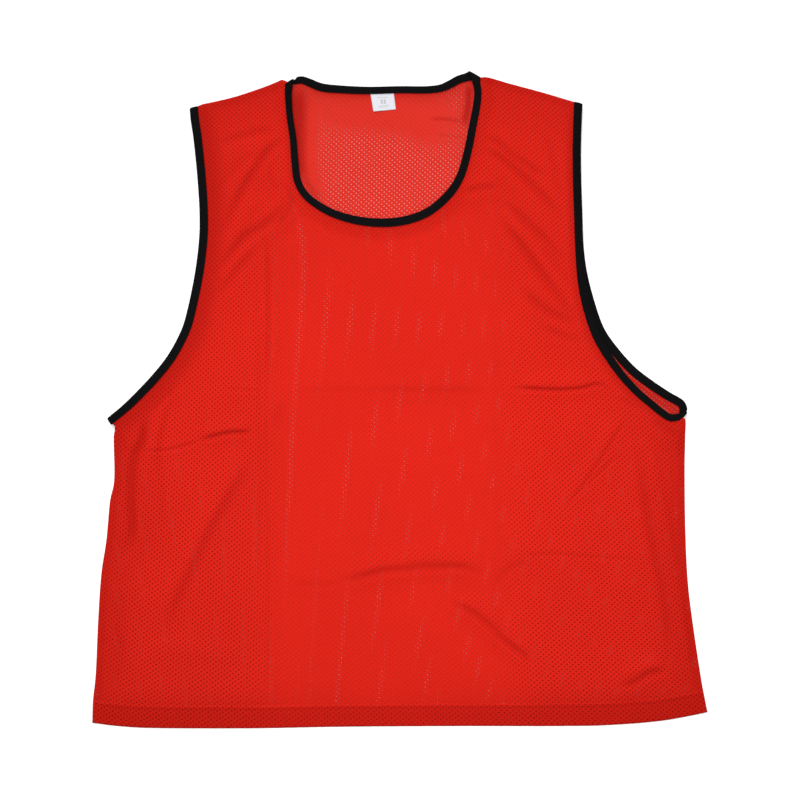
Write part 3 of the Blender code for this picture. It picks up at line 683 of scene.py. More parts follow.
def holes_group() -> bpy.types.NodeTree:
    """Small round holes in staggered columns over the flat cloth.

    Returns:
        The group. Cloth is 1 on the cloth and 0 in the middle of a hole, and Rim is 1 at a hole's edge.
    """
    inputs = {"Place": "Vector", "Pitch": "Vector", "Radius": "Float", "Drift": "Float"}
    nodes = new_group("mesh_holes", "ShaderNodeTree", inputs, {"Cloth": "Float", "Rim": "Float"})
    given = nodes.tree.nodes["input"].outputs
    scatter = nodes.add("ShaderNodeTexNoise", {"Vector": given["Place"], "Scale": 160.0, "Detail": 1.0})
    shift = nodes.vector("SUBTRACT", scatter.outputs["Color"], (0.5, 0.5, 0.5))
    scaled = nodes.add("ShaderNodeVectorMath", {0: shift, "Scale": given["Drift"]}, operation="SCALE")
    place = nodes.vector("ADD", given["Place"], scaled.outputs["Vector"])
    cell = nodes.vector("DIVIDE", place, given["Pitch"])
    gaps = []
    for half in (0.0, 0.5):
        moved = nodes.vector("FRACTION", nodes.vector("ADD", cell, (half, half, half)))
        centred = nodes.vector("SUBTRACT", moved, (0.5, 0.5, 0.5))
        gaps.append(nodes.vector("LENGTH", nodes.vector("MULTIPLY", centred, given["Pitch"])))
    share = nodes.math("DIVIDE", nodes.math("MINIMUM", *gaps), given["Radius"])
    out = nodes.tree.nodes["output"].inputs
    nodes.link(nodes.remap(share, 0.6, 1.15, 0.0, 1.0), out["Cloth"])
    nodes.link(nodes.remap(share, 0.7, 1.9, 1.0, 0.0), out["Rim"])
    return nodes.tree


def knit_group() -> bpy.types.NodeTree:
    """Loops of knitting in wales and courses, as a height of 0 to 1."""
    inputs = {"Place": "Vector", "Wale": "Float", "Course": "Float"}
    nodes = new_group("knit_loops", "ShaderNodeTree", inputs, {"Height": "Float"})
    given = nodes.tree.nodes["input"].outputs
    axes = nodes.add("ShaderNodeSeparateXYZ", {"Vector": given["Place"]}).outputs
    across = nodes.math("MULTIPLY", nodes.math("DIVIDE", axes["X"], given["Wale"]), math.pi)
    legs = nodes.math("ABSOLUTE", nodes.math("SINE", across))
    along = nodes.math("MULTIPLY", nodes.math("DIVIDE", axes["Y"], given["Course"]), math.tau)
    loops = nodes.math("SINE", nodes.math("ADD", along, nodes.math("MULTIPLY", legs, 2.2)))
    raised = nodes.math("MULTIPLY_ADD", loops, 0.35, 0.5)
    height = nodes.math("MULTIPLY_ADD", legs, 0.3, nodes.math("MULTIPLY", raised, 0.7))
    nodes.link(height, nodes.tree.nodes["output"].inputs["Height"])
    return nodes.tree


def tone_group() -> bpy.types.NodeTree:
    """Uneven dye and lint over a piece.

    Returns:
        The group. Broad drifts from 0 to 1 over the piece, and Fine does so from yarn to yarn.
    """
    inputs = {"Place": "Vector", "Broad Scale": "Float", "Fine Scale": "Float"}
    nodes = new_group("dye_tone", "ShaderNodeTree", inputs, {"Broad": "Float", "Fine": "Float"})
    given = nodes.tree.nodes["input"].outputs
    out = nodes.tree.nodes["output"].inputs
    for label, detail in (("Broad", 2.0), ("Fine", 3.0)):
        sockets = {"Vector": given["Place"], "Scale": given[label + " Scale"], "Detail": detail}
        texture = nodes.add("ShaderNodeTexNoise", sockets)
        nodes.link(nodes.remap(texture.outputs[0], 0.3, 0.7, 0.0, 1.0), out[label])
    return nodes.tree


class Effects:
    """The shader groups that several finishes share."""

    def __init__(self) -> None:
        """Build each group once."""
        self.holes = holes_group()
        self.knit = knit_group()
        self.tone = tone_group()


class Start:
    """A new material, with what every finish starts from."""

    def __init__(self, name: str, effects: Effects, broad_scale: float, fine_scale: float) -> None:
        """Make the material and its uneven tone over the body.

        Args:
            name: the material's name.
            effects: the shared groups.
            broad_scale: scale of the broad drift of its tone.
            fine_scale: scale of the fine one.
        """
        self.effects = effects
        self.material = bpy.data.materials.new(name)
        self.material.use_nodes = True
        self.nodes = Nodes(self.material.node_tree)
        self.shader = self.material.node_tree.nodes["Principled BSDF"]
        body = self.nodes.add("ShaderNodeTexCoord").outputs["Object"]
        sockets = {"Place": body, "Broad Scale": broad_scale, "Fine Scale": fine_scale}
        self.tone = self.nodes.group(effects.tone, sockets)

    @cached_property
    def place(self) -> Output:
        """The place on the flat cloth."""
        return self.nodes.add("ShaderNodeUVMap", uv_map="cut").outputs["UV"]

    def feed(self, socket: str, value: Output | float) -> None:
        """Link an output to a socket of the shader, or set its value."""
        if isinstance(value, Output):
            self.nodes.link(value, self.shader.inputs[socket])
        else:
            self.shader.inputs[socket].default_value = value

    def knit(self, wale: float, course: float) -> Output:
        """Height of the knitting, from 0 to 1."""
        sockets = {"Place": self.place, "Wale": wale, "Course": course}
        return self.nodes.group(self.effects.knit, sockets)["Height"]

    def bump(self, height: Output, strength: float, distance: float) -> None:
        """Give the surface its fine relief."""
        sockets = {"Height": height, "Strength": strength, "Distance": distance}
        self.feed("Normal", self.nodes.add("ShaderNodeBump", sockets).outputs["Normal"])

    def attribute(self, name: str) -> Output:
        """What the mesh carries under a name."""
        return self.nodes.add("ShaderNodeAttribute", attribute_name=name).outputs["Fac"]


def shade(colour: Colour, factor: float) -> tuple[float, float, float, float]:
    """A colour made darker or lighter, with full alpha."""
    return (colour[0] * factor, colour[1] * factor, colour[2] * factor, 1.0)


@dataclass(frozen=True)
class MeshKnit:
    """Knitted sports mesh: fine loops with small round holes in staggered columns."""

    name: str
    colour: Colour
    column_pitch: float  # metres
    row_pitch: float
    hole_radius: float = 0.00076
    painted_shade: Colour = (0.35, 0.004, 0.001)  # painted shade colour: in troughs, over doubled layers, towards the seams and beside the tapes, and at the holes' painted dark rims
    drift: float = 0.0006
    wale: float = 0.00095
    course: float = 0.00066
    dots: tuple[float, float] = (0.07, 0.62)  # how dark the painted shade at a hole's edge is, and more where the cloth is loose

    def material(self, effects: Effects) -> bpy.types.Material:
        """Build the finish."""
        start = Start(self.name, effects, 9.0, 900.0)
        nodes, tone = start.nodes, start.tone
        sockets = {
            "Place": start.place,
            "Pitch": (self.column_pitch, self.row_pitch, 0.0),
            "Radius": self.hole_radius,
            "Drift": self.drift,
        }
        holes = nodes.group(effects.holes, sockets)
        broad = nodes.mix(tone["Broad"], shade(self.colour, 0.97), shade(self.colour, 1.02))
        # Painted shade: the colour darkens by the mesh's "depth" attribute, in troughs, over doubled layers,
        # towards the seams and beside the tapes.
        painted_shade = nodes.mix(start.attribute("depth"), broad, shade(self.painted_shade, 1.0))
        fine = nodes.mix(nodes.math("MULTIPLY", tone["Fine"], 0.25), painted_shade, shade(self.colour, 0.86))
        # Painted shade round each hole: its rim darkens, more where the cloth stands off what lies below.
        least, more = self.dots
        share = nodes.math("MULTIPLY_ADD", start.attribute("loose"), more, least)
        dots = nodes.math("MULTIPLY", holes["Rim"], share)
        start.feed("Base Color", nodes.mix(dots, fine, shade(self.painted_shade, 0.9)))
        holed = nodes.math("MULTIPLY", nodes.math("SUBTRACT", 1.0, holes["Cloth"]), start.attribute("drawn"))
        start.feed("Alpha", nodes.math("SUBTRACT", 1.0, holed))
        start.feed("Roughness", nodes.math("MULTIPLY_ADD", tone["Fine"], 0.12, 0.62))
        knit = nodes.math("MULTIPLY", start.knit(self.wale, self.course), 0.45)
        start.bump(nodes.math("MULTIPLY_ADD", holes["Rim"], -0.8, knit), 0.55, 0.0003)
        start.feed("Specular IOR Level", 0.05)
        start.feed("Sheen Weight", 0.01)
        start.feed("Sheen Roughness", 0.5)
        start.material.surface_render_method = "DITHERED"
        return start.material


@dataclass(frozen=True)
class TapeKnit:
    """Black knit tape, ribbed across its run."""

    name: str = "black_knit_tape"
    colour: Colour = (0.0028, 0.0028, 0.0032)
    rib: float = 0.00085
    course: float = 0.0006

    def material(self, effects: Effects) -> bpy.types.Material:
        """Build the finish."""
        start = Start(self.name, effects, 14.0, 1100.0)
        nodes, tone = start.nodes, start.tone
        knit = start.knit(self.rib, self.course)
        broad = nodes.mix(tone["Broad"], shade(self.colour, 0.85), shade(self.colour, 1.15))
        lint = nodes.math("MULTIPLY", tone["Fine"], 0.5)
        start.feed("Base Color", nodes.mix(lint, broad, shade(self.colour, 1.9)))
        start.feed("Roughness", nodes.math("MULTIPLY_ADD", knit, 0.15, 0.66))
        start.bump(knit, 0.5, 0.0002)
        start.feed("Specular IOR Level", 0.02)
        return start.material


@dataclass(frozen=True)
class Satin:
    """White satin label tape with woven lines, and plain grey bars where it is printed."""

    name: str = "label_satin"
    colour: Colour = (0.55, 0.56, 0.6)
    ink: Colour = (0.4, 0.41, 0.43)
    thread: float = 0.00035
    soft: float = 0.00012  # half the width of a bar's soft edge
    # Printed bars: middle across and along, and half sizes, in metres on the flat label.
    bars: tuple[tuple[float, float, float, float], ...] = (
        (0.0125, 0.0036, 0.0060, 0.0004),
        (0.0112, 0.0085, 0.0011, 0.0026),
        (0.0146, 0.0085, 0.0011, 0.0026),
        (0.0125, 0.0132, 0.0065, 0.0004),
        (0.0125, 0.0147, 0.0048, 0.0003),
    )

    def material(self, effects: Effects) -> bpy.types.Material:
        """Build the finish."""
        start = Start(self.name, effects, 60.0, 2500.0)
        nodes = start.nodes
        axes = nodes.add("ShaderNodeSeparateXYZ", {"Vector": start.place}).outputs
        ink = 0.0
        for across, along, half_across, half_along in self.bars:
            sides = []
            for axis, middle, half in ((axes["X"], across, half_across), (axes["Y"], along, half_along)):
                gap = nodes.math("ABSOLUTE", nodes.math("SUBTRACT", axis, middle))
                sides.append(nodes.remap(gap, half - self.soft, half + self.soft, 1.0, 0.0))
            ink = nodes.math("MAXIMUM", ink, nodes.math("MULTIPLY", *sides))
        cloth = nodes.mix(start.tone["Fine"], shade(self.colour, 0.95), shade(self.colour, 1.03))
        start.feed("Base Color", nodes.mix(ink, cloth, shade(self.ink, 1.0)))
        start.feed("Roughness", nodes.math("MULTIPLY_ADD", ink, 0.2, 0.42))
        start.bump(start.knit(self.thread, self.thread * 6), 0.3, 0.0001)
        start.feed("Specular IOR Level", 0.45)
        return start.material


@dataclass(frozen=True)
class Thread:
    """Sewing thread, twisted from two plies."""

    name: str
    colour: Colour

    def material(self, effects: Effects) -> bpy.types.Material:
        """Build the finish."""
        start = Start(self.name, effects, 40.0, 3000.0)
        nodes, tone = start.nodes, start.tone
        start.feed("Base Color", nodes.mix(tone["Fine"], shade(self.colour, 0.8), shade(self.colour, 1.2)))
        start.feed("Roughness", nodes.math("MULTIPLY_ADD", tone["Broad"], 0.1, 0.6))
        start.feed("Specular IOR Level", 0.05)
        return start.material


@dataclass(frozen=True)
class Floor:
    """Plain pale surface that the bib lies on."""

    name: str = "pale_floor"
    colour: Colour = (0.97, 0.97, 0.97)

    def material(self, effects: Effects) -> bpy.types.Material:
        """Build the finish."""
        start = Start(self.name, effects, 2.0, 300.0)
        tone = start.tone["Broad"]
        start.feed("Base Color", start.nodes.mix(tone, shade(self.colour, 0.995), shade(self.colour, 1.0)))
        start.feed("Roughness", 0.9)
        start.feed("Specular IOR Level", 0.1)
        return start.material


@dataclass(frozen=True)
class Lattice:
    """How the columns and rows of holes run over a panel as it lies, in plan millimetres."""

    row_slope: float
    row_bow: float = 0.0
    row_bow_rate: float = 0.0  # how the bow changes up the panel
    lean: float = 0.0
    fan: float = 0.0  # how the lean changes across the panel
    yoke_squeeze: float = 0.0  # how much closer the rows are at the shoulders
    yoke_from: float = 110.0
    yoke_to: float = 275.0

    def cut(self, places: Array) -> Array:
        """Places on the flat cloth, in metres, for places in plan."""
        x, y = places[:, 0], places[:, 1]
        reach = self.yoke_to - self.yoke_from
        share = np.clip((y - self.yoke_from) / reach, 0.0, 1.0)
        squeeze = reach * (share**3 - share**4 / 2) + np.maximum(y - self.yoke_to, 0.0)
        bow = (self.row_bow + self.row_bow_rate * y) * x * x / 2
        along = y + self.row_slope * x + bow + self.yoke_squeeze * squeeze
        across = x + (self.lean + self.fan * x) * y
        return np.column_stack((across, along)) * MM


@dataclass
class Sections:
    """Sections of a folded tape, one a row, with unit vectors along to its free edge and out."""

    middle: Array
    along: Array
    half: Array
    normal: Array
    thick: Array  # share of the tape's thickness
    turned: Array

    def joined(self, *others: "Sections") -> "Sections":
        """These sections and others after them."""
        parts = (self, *others)
        return Sections(*(np.concatenate(rows) for rows in zip(*(part.columns() for part in parts))))

    def reversed(self) -> "Sections":
        """The same sections in the other order."""
        return Sections(*(rows[::-1] for rows in self.columns()))

    def columns(self) -> tuple[Array, ...]:
        """What is known of each section, in the order of the fields."""
        return self.middle, self.along, self.half, self.normal, self.thick, self.turned

    def offset(self, across: float, out: float) -> Array:
        """A row of points, across from the attached edge and out along the normals."""
        shift = (across - self.half)[:, None] * self.along
        return self.middle + shift + self.normal * (out * self.thick)[:, None]


@dataclass
class Binding:
    """One ring of folded tape: along the front, over a crease, back along the back and up again."""

    name: str
    front_rows: tuple[BandRow, ...]
    back_rows: tuple[BandRow, ...]
    start: str
    end: str
    step: float = 1.5  # between sections
    crease_round: float = 0.1  # how much shorter the fold is at its outermost
    fan: float = 11.0  # over which the sections turn square to the run, beside a crease
    crease_steps: int = 14
    pucker: float = 0.07
    stitch_inset: float = 1.7  # from the attached edge
    front: Sections = field(init=False)
    back: Sections = field(init=False)
    ring: Sections = field(init=False)

    def __post_init__(self) -> None:
        """Work out the sections all round."""
        start, end = CREASES[self.start], CREASES[self.end]
        self.front = self.flat_run(self.front_rows, start, end, FRONT_BAND_Z, 1.0)
        self.back = self.flat_run(self.back_rows, end, start, BACK_BAND_Z, -1.0)
        over = self.turn(end, self.front, False)
        under = self.turn(start, self.back, True)
        self.ring = self.front.joined(over, self.back, under)

    @staticmethod
    def crease_middle(crease: Crease) -> tuple[Array, Array]:
        """Middle of a crease, and the vector from there to the tape's free edge."""
        attached = np.array((crease.attached_x, crease.attached_y, 0.0))
        free = np.array((crease.free_x, crease.free_y, 0.0))
        return (attached + free) / 2, (free - attached) / 2

    def flat_run(
        self, rows: tuple[BandRow, ...], start: Crease, end: Crease, level: float, facing: float
    ) -> Sections:
        """Sections between two creases, square to the run but for the fans at its ends.

        Args:
            rows: places on the middle line.
            start: crease that it comes from.
            end: crease that it goes to.
            level: height at both.
            facing: 1 where the tape's outer side faces up, -1 where it faces down.

        Returns:
            The sections.
        """
        start_middle, start_width = self.crease_middle(start)
        end_middle, end_width = self.crease_middle(end)
        first = (start_middle[0], start_middle[1], level, rows[0].half_width)
        last = (end_middle[0], end_middle[1], level, rows[-1].half_width)
        line = smooth_route([first, *rows, last], self.step)
        middle, half = line[:, :3], line[:, 3:]
        run = np.gradient(middle, axis=0)
        square = unit(np.column_stack((-run[:, 1], run[:, 0], np.zeros(len(run)))))
        square *= math.copysign(1.0, square[0] @ start_width)
        travelled = distances(middle[:, :2])
        from_start = ease(travelled / self.fan)[:, None]
        from_end = ease((travelled[-1] - travelled) / self.fan)[:, None]
        width = blend(start_width, square * half, from_start)
        width = blend(end_width, width, from_end)
        normal = np.tile((0.0, 0.0, facing), (len(middle), 1))
        turned = ((from_start < CORNER_SHARE) | (from_end < CORNER_SHARE))[:, 0]
        thick = blend(CREASE_PRESSED, 1.0, np.minimum(from_start, from_end)[:, 0])
        return Sections(middle, unit(width), np.linalg.norm(width, axis=1), normal, thick, turned)

    def turn(self, crease: Crease, leaving: Sections, upwards: bool) -> Sections:
        """Sections round a crease.

        Args:
            crease: the line that the tape folds over about.
            leaving: the sections that come to it.
            upwards: whether the tape goes up there, from the back to the front.

        Returns:
            The sections between the two layers.
        """
        middle, width = self.crease_middle(crease)
        axis = unit(width)
        run = leaving.middle[-1] - leaving.middle[-2]
        outward = unit(run * (1, 1, 0) - axis * (run @ axis))
        angle = np.pi * np.arange(1, self.crease_steps) / self.crease_steps
        rise = -np.cos(angle) if upwards else np.cos(angle)
        normal = rise[:, None] * (0.0, 0.0, 1.0) + np.sin(angle)[:, None] * outward
        centre = middle + (0.0, 0.0, BACK_BAND_Z + CREASE_RISE)
        count = len(angle)
        return Sections(
            centre + normal * (CREASE_OUT, CREASE_OUT, CREASE_RISE),
            np.tile(axis, (count, 1)),
            np.linalg.norm(width) * (1.0 - self.crease_round * np.sin(angle) ** 2),
            normal,
            np.full(count, CREASE_PRESSED),
            np.full(count, True),
        )

    @staticmethod
    def profile() -> Array:
        """The folded tape's outline: distance from the attached edge as a share and an amount, and out."""
        upper = (
            (0.0, 0.05, SLOT_HALF), (0.0, 0.0, 0.95), (0.0, 0.14, 1.36), (0.0, 0.55, 1.6), (0.0, 1.15, 1.62),
            (0.0, 1.7, 1.5), (0.0, 2.3, 1.62), (0.5, -0.6, 1.78), (0.5, 0.9, 1.79), (1.0, -2.2, 1.68),
            (1.0, -1.1, 1.4), (1.0, -0.35, 0.9), (1.0, -0.04, 0.38),
        )
        lower = [(share, amount, -out) for share, amount, out in reversed(upper)]
        slot = [(1.0, -1.2, -SLOT_HALF * 0.6), (1.0, -1.2, SLOT_HALF * 0.6)]
        return np.array([*upper, *lower, *slot])

    def build(self, finish: bpy.types.Material) -> bpy.types.Object:
        """Sweep the outline round the ring.

        Args:
            finish: the tape's material.

        Returns:
            The tape.
        """
        ring, outline = self.ring, self.profile()
        travelled = distances(ring.middle)
        girth = distances(outline[:, 1:] + outline[:, :1] * (2 * ring.half.mean(), 0.0))
        lift = self.pucker * ripple(np.column_stack((travelled, travelled * 0)), 2.6, SEED)
        points, cut = [], []
        for (share, amount, out), across in zip(outline, girth):
            place = (2 * ring.half * share + amount)[:, None]
            raised = out + np.sign(out) * lift * (abs(out) > 1.0)
            shift = (place - ring.half[:, None]) * ring.along
            points.append(ring.middle + shift + ring.normal * (ring.thick * raised)[:, None])
            cut.append(np.column_stack((travelled, np.full(len(travelled), across))) * MM)
        size, count = len(outline), len(ring.middle)
        number = np.arange(count)[:, None] * size + np.arange(size)
        near, far = number, np.roll(number, -1, axis=1)
        ahead, ahead_far = np.roll(near, -1, axis=0), np.roll(far, -1, axis=0)
        faces = np.stack((near, far, ahead_far, ahead), axis=-1).reshape(-1, 4)
        stacked = np.stack(points, axis=1).reshape(-1, 3)
        item = make_mesh(self.name, stacked, faces, np.stack(cut, axis=1).reshape(-1, 2))
        face_outwards(item)
        item.data.materials.append(finish)
        return item

    def stitch_routes(self) -> list[Array]:
        """Where the topstitching shows: the upper side of the front and of the back."""
        front = self.front.offset(self.stitch_inset, BAND_HALF - 0.28)
        back = self.back.offset(self.stitch_inset, -(BAND_HALF - 0.28))
        return [front[4:-4], back[4:-4]]


def face_outwards(item: bpy.types.Object) -> None:
    """Turn a closed mesh's faces outwards."""
    mesh = item.data
    points = np.array([vertex.co for vertex in mesh.vertices])
    volume = 0.0
    for face in mesh.polygons:
        a, b, c = (points[corner] for corner in face.vertices[:3])
        volume += np.dot(a, np.cross(b, c))
        if len(face.vertices) == 4:
            volume += np.dot(a, np.cross(c, points[face.vertices[3]]))
    if volume < 0:
        mesh.flip_normals()


def inside(places: Array, outline: Array) -> Array:
    """Whether each place is inside a closed outline."""
    crossings = np.zeros(len(places), int)
    for start, end in zip(outline, np.roll(outline, -1, axis=0)):
        if start[1] == end[1]:
            continue
        spans = (start[1] > places[:, 1]) != (end[1] > places[:, 1])
        across = start[0] + (places[:, 1] - start[1]) * (end[0] - start[0]) / (end[1] - start[1])
        crossings += spans & (across > places[:, 0])
    return crossings % 2 == 1


def spread_out(kept: list[Plan], places: Array, room: float) -> list[Plan]:
    """Add the places that have room.

    Args:
        kept: places so far.
        places: places to add, the first ones first.
        room: least distance between a new place and any other.

    Returns:
        All the places that are kept.
    """
    cells: dict[tuple[int, int], list[Plan]] = {}
    for x, y in kept:
        cells.setdefault((math.floor(x / room), math.floor(y / room)), []).append((x, y))
    result = list(kept)
    for x, y in places.tolist():
        column, row = math.floor(x / room), math.floor(y / room)
        near = [cells.get((column + i, row + j), ()) for i in (-1, 0, 1) for j in (-1, 0, 1)]
        if any((x - a) ** 2 + (y - b) ** 2 < room * room for cell in near for a, b in cell):
            continue
        cells.setdefault((column, row), []).append((x, y))
        result.append((x, y))
    return result


@dataclass
class Panel:
    """One panel of mesh cloth, as it lies."""

    name: str
    bands: tuple[Sections, ...]  # neck, left arm and right arm, in the outline's order
    folds: tuple[Fold, ...]
    troughs: tuple[Trough, ...]
    lattice: Lattice
    band_reach: tuple[float, float, float]  # over which the cloth comes down from each tape
    edge_inset: float = 1.5  # from a tape's free edge to the cloth's raw edge inside it
    corner_gap: float = -1.2  # from a tape's attached edge to the cloth's edge, at a crease
    edge_rows: tuple[float, ...] = (0.4, 0.9, 1.6, 2.6)
    band_rows: tuple[float, ...] = (-1.2, 0.4, 1.4, 2.8, 4.6)
    trough_rows: tuple[float, ...] = (-2.4, -1.5, -0.8, 0.0, 0.8, 1.5, 2.4)  # in half widths
    narrow: float = 4.0  # troughs with half widths under this get rows of points
    # Painted shade beside each tape: how dark it is, how far out it stays so and over what it fades.
    painted_tape_shade: tuple[tuple[float, float, float], ...] = ((0.5, 1.0, 6.0), (0.85, 3.0, 24.0), (0.6, 2.0, 8.0))
    seam_layers: float = 9.0  # how far in the seam's turned layers reach
    seam_shade: float = 0.62  # how dark the painted shade is over them
    hem_shade: float = 0.72  # and over the hem's, also painted shade
    side_shade: float = 0.34  # how dark the painted shade is towards the seams
    side_reach: float = 60.0
    hem_rows: tuple[float, ...] = (
        4.6, 17.6, 18.6, 19.3, 20.0, 21.2, 22.3, 23.2, 24.2, 25.2, 25.9, 26.6, 27.8,
    )
    sewn: list[Line] = field(init=False)
    hem: Line = field(init=False)
    ridges: list[tuple[Fold, Line]] = field(init=False)
    valleys: list[tuple[Trough, Line]] = field(init=False)
    tapes: list[Line] = field(init=False)

    def __post_init__(self) -> None:
        """Work out the lines that shape the panel."""
        edges = (HEM_EDGE, SIDE_RIGHT, SHOULDER_RIGHT, SHOULDER_LEFT, SIDE_LEFT)
        self.sewn = [Line(smooth_route(edge, LINE_STEP)) for edge in edges]
        self.hem = self.sewn[0]
        self.ridges, self.valleys = lined(self.folds), lined(self.troughs)
        every = 3
        self.tapes = [Line(np.column_stack((band.middle, band.half))[::every]) for band in self.bands]

    def edge_along(self, band: Sections) -> Array:
        """The outline along a tape: inside it, and round its attached edge by a crease."""
        inner = band.middle + band.along * (band.half - self.edge_inset)[:, None]
        outer = band.middle - band.along * (band.half + self.corner_gap)[:, None]
        places = np.where(band.turned[:, None], outer, inner)[:, :2]
        return np.vstack((outer[:1, :2], places[1:-1:2], outer[-1:, :2]))

    def outline(self) -> Array:
        """The cut edge of the panel as it lies, anticlockwise."""
        neck, arm_left, arm_right = (self.edge_along(band) for band in self.bands)
        return np.vstack((
            smooth_route(HEM_EDGE, ROW_STEP)[:-1],
            smooth_route(SIDE_RIGHT, ROW_STEP),
            CORNER_ARMPIT_RIGHT,
            arm_right,
            CORNER_SHOULDER_RIGHT,
            smooth_route(SHOULDER_RIGHT, ROW_STEP),
            CORNER_NECK_RIGHT,
            neck,
            CORNER_NECK_LEFT,
            smooth_route(SHOULDER_LEFT, ROW_STEP),
            CORNER_SHOULDER_LEFT,
            arm_left,
            smooth_route(SIDE_LEFT, ROW_STEP)[:-1],
        ))

    def shaping_rows(self) -> Array:
        """Points in rows along the edges, tapes, stitches and pressed creases."""
        rows = [line.beside(inset, ROW_STEP) for line in self.sewn for inset in self.edge_rows]
        rows += [self.hem.beside(inset, ROW_STEP) for inset in self.hem_rows]
        for band in self.bands:
            for offset in self.band_rows:
                rows.append((band.middle - band.along * (band.half + offset)[:, None])[::2, :2])
        for trough, line in self.valleys:
            if max(trough.left, trough.right) < self.narrow:
                step = ROW_STEP * 0.8
                widths = [trough.left if offset > 0 else trough.right for offset in self.trough_rows]
                rows += [line.beside(a * b, step) for a, b in zip(self.trough_rows, widths)]
        return np.vstack(rows)

    def places(self) -> tuple[Array, int]:
        """All the points of the panel in plan.

        Returns:
            The points, and how many of the first ones are its outline.
        """
        edge = self.outline()
        margin, row_room, grid_room = 0.25, 0.45, GRID * 0.62
        rows = self.shaping_rows()
        rows = rows[inside(rows, edge)]
        closed = Line(np.vstack((edge, edge[:1])))
        rows = rows[closed.near(rows)[0] > margin]
        low, high = edge.min(axis=0), edge.max(axis=0)
        levels = np.arange(low[1], high[1], GRID * math.sqrt(3) / 2)
        columns = np.arange(low[0], high[0], GRID)
        grid = np.array([(x + (i % 2) * GRID / 2, y) for i, y in enumerate(levels) for x in columns])
        grid = grid[inside(grid, edge)]
        kept = spread_out([tuple(place) for place in edge.tolist()], rows, row_room)
        kept = spread_out(kept, grid, grid_room)
        return np.array(kept), len(edge)

    def inwards(self, places: Array) -> Array:
        """Distance in from the edges where the panels are sewn together."""
        return np.min([line.near(places)[0] for line in self.sewn], axis=0)

    def hem_lift(self, places: Array) -> tuple[Array, Array]:
        """How the turned hem shapes the cloth.

        Returns:
            A share, 1 over the turned layer, and what the sewing adds to the height.
        """
        up = self.hem.near(places)[0]
        share = 1.0 - ease((up - HEM_DEPTH + 0.7) / 1.4)
        sewing = -0.24 * sum(np.exp(-(((up - row) / 0.8) ** 2)) for row in HEM_ROWS)
        sewing += 0.16 * np.exp(-(((up - sum(HEM_ROWS) / 2) / 1.9) ** 2))
        return share, sewing

    def beside_tapes(self, places: Array, height: Array) -> Array:
        """Bring the cloth up to the tapes that bind it."""
        level_strip, pucker, pucker_size, pucker_reach = 1.0, 0.16, 5.5, 7.0
        for number, tape in enumerate(self.tapes):
            gap, _, along = tape.near(places)
            out = gap - tape.value(along, 3)
            share = 1.0 - ease((out - level_strip) / self.band_reach[number])
            height = blend(height, tape.value(along, 2), share)
            close = (out > 0) & (out < 4 * pucker_reach)
            waves = ripple(np.column_stack((along[close], along[close] * 0)), pucker_size, SEED + number)
            height[close] += pucker * waves * ease(out[close] / 2) * np.exp(-out[close] / pucker_reach)
        return height

    def depth(self, places: Array) -> Array:
        """Painted shade on the cloth, from 0 to 1: in troughs, over turned layers, towards the seams and
        beside the tapes.
        """
        total = deepened(places, self.valleys)
        inward = self.inwards(places)
        layers = self.seam_shade * (1.0 - ease((inward - self.seam_layers + 2.0) / 4.0))
        sides = self.side_shade * (1.0 - ease(inward / self.side_reach))
        total = np.max((total, layers, sides, self.hem_shade * self.hem_lift(places)[0]), axis=0)
        for tape, (strength, level, reach) in zip(self.tapes, self.painted_tape_shade):
            gap, _, along = tape.near(places)
            out = gap - tape.value(along, 3)
            total = np.maximum(total, strength * (1.0 - ease((out - level) / reach)))
        return total

    def height(self, places: Array) -> Array:
        """Height of the middle of the cloth at places in plan."""
        raise NotImplementedError

    def loose(self, places: Array) -> Array:
        """How far the cloth stands off what lies below it, from 0 to 1; the finish paints the holes' rims
        darker by it, as painted shade.
        """
        raise NotImplementedError

    def drawn(self, places: Array) -> Array:
        """How far the holes are drawn open, from 0 to 1."""
        raise NotImplementedError

    def finished(
        self, name: str, places: Array, heights: Array, faces: Array, cut: Array, finish: bpy.types.Material
    ) -> bpy.types.Object:
        """Make a piece of this panel, with its wall and what its finish reads.

        Args:
            name: the piece's name.
            places: its points in plan.
            heights: the height of its middle at each.
            faces: its triangles, anticlockwise seen from above.
            cut: each point's place on the flat cloth, in metres.
            finish: the cloth's material.

        Returns:
            The piece.
        """
        points, closed = thicken(np.column_stack((places, heights)), faces, MESH_WALL)
        item = make_mesh(name, points, closed, np.tile(cut, (2, 1)))
        # The finish reads "depth" as painted shade, and "loose" as painted shade at the holes' rims.
        for label, values in (
            ("depth", self.depth(places)), ("loose", self.loose(places)), ("drawn", self.drawn(places))
        ):
            layer = item.data.attributes.new(label, "FLOAT", "POINT")
            layer.data.foreach_set("value", np.tile(values, 2).astype(np.float32))
        item.data.materials.append(finish)
        return item

    def build(self, finish: bpy.types.Material) -> bpy.types.Object:
        """Triangulate the cloth, lay it and give it its wall.

        Args:
            finish: the cloth's material.

        Returns:
            The panel.
        """
        places, count = self.places()
        ring = list(range(count))
        edges = list(zip(ring, ring[1:] + ring[:1]))
        flat, _, faces, _, _, _ = delaunay_2d_cdt([Vector(place) for place in places], edges, [ring], 1, 1e-5)
        places = np.array([tuple(place) for place in flat])
        faces = np.array([face for face in faces if len(face) == 3])
        used, faces = np.unique(faces, return_inverse=True)
        places, faces = places[used], faces.reshape(-1, 3)
        return self.finished(self.name, places, self.height(places), faces, self.lattice.cut(places), finish)

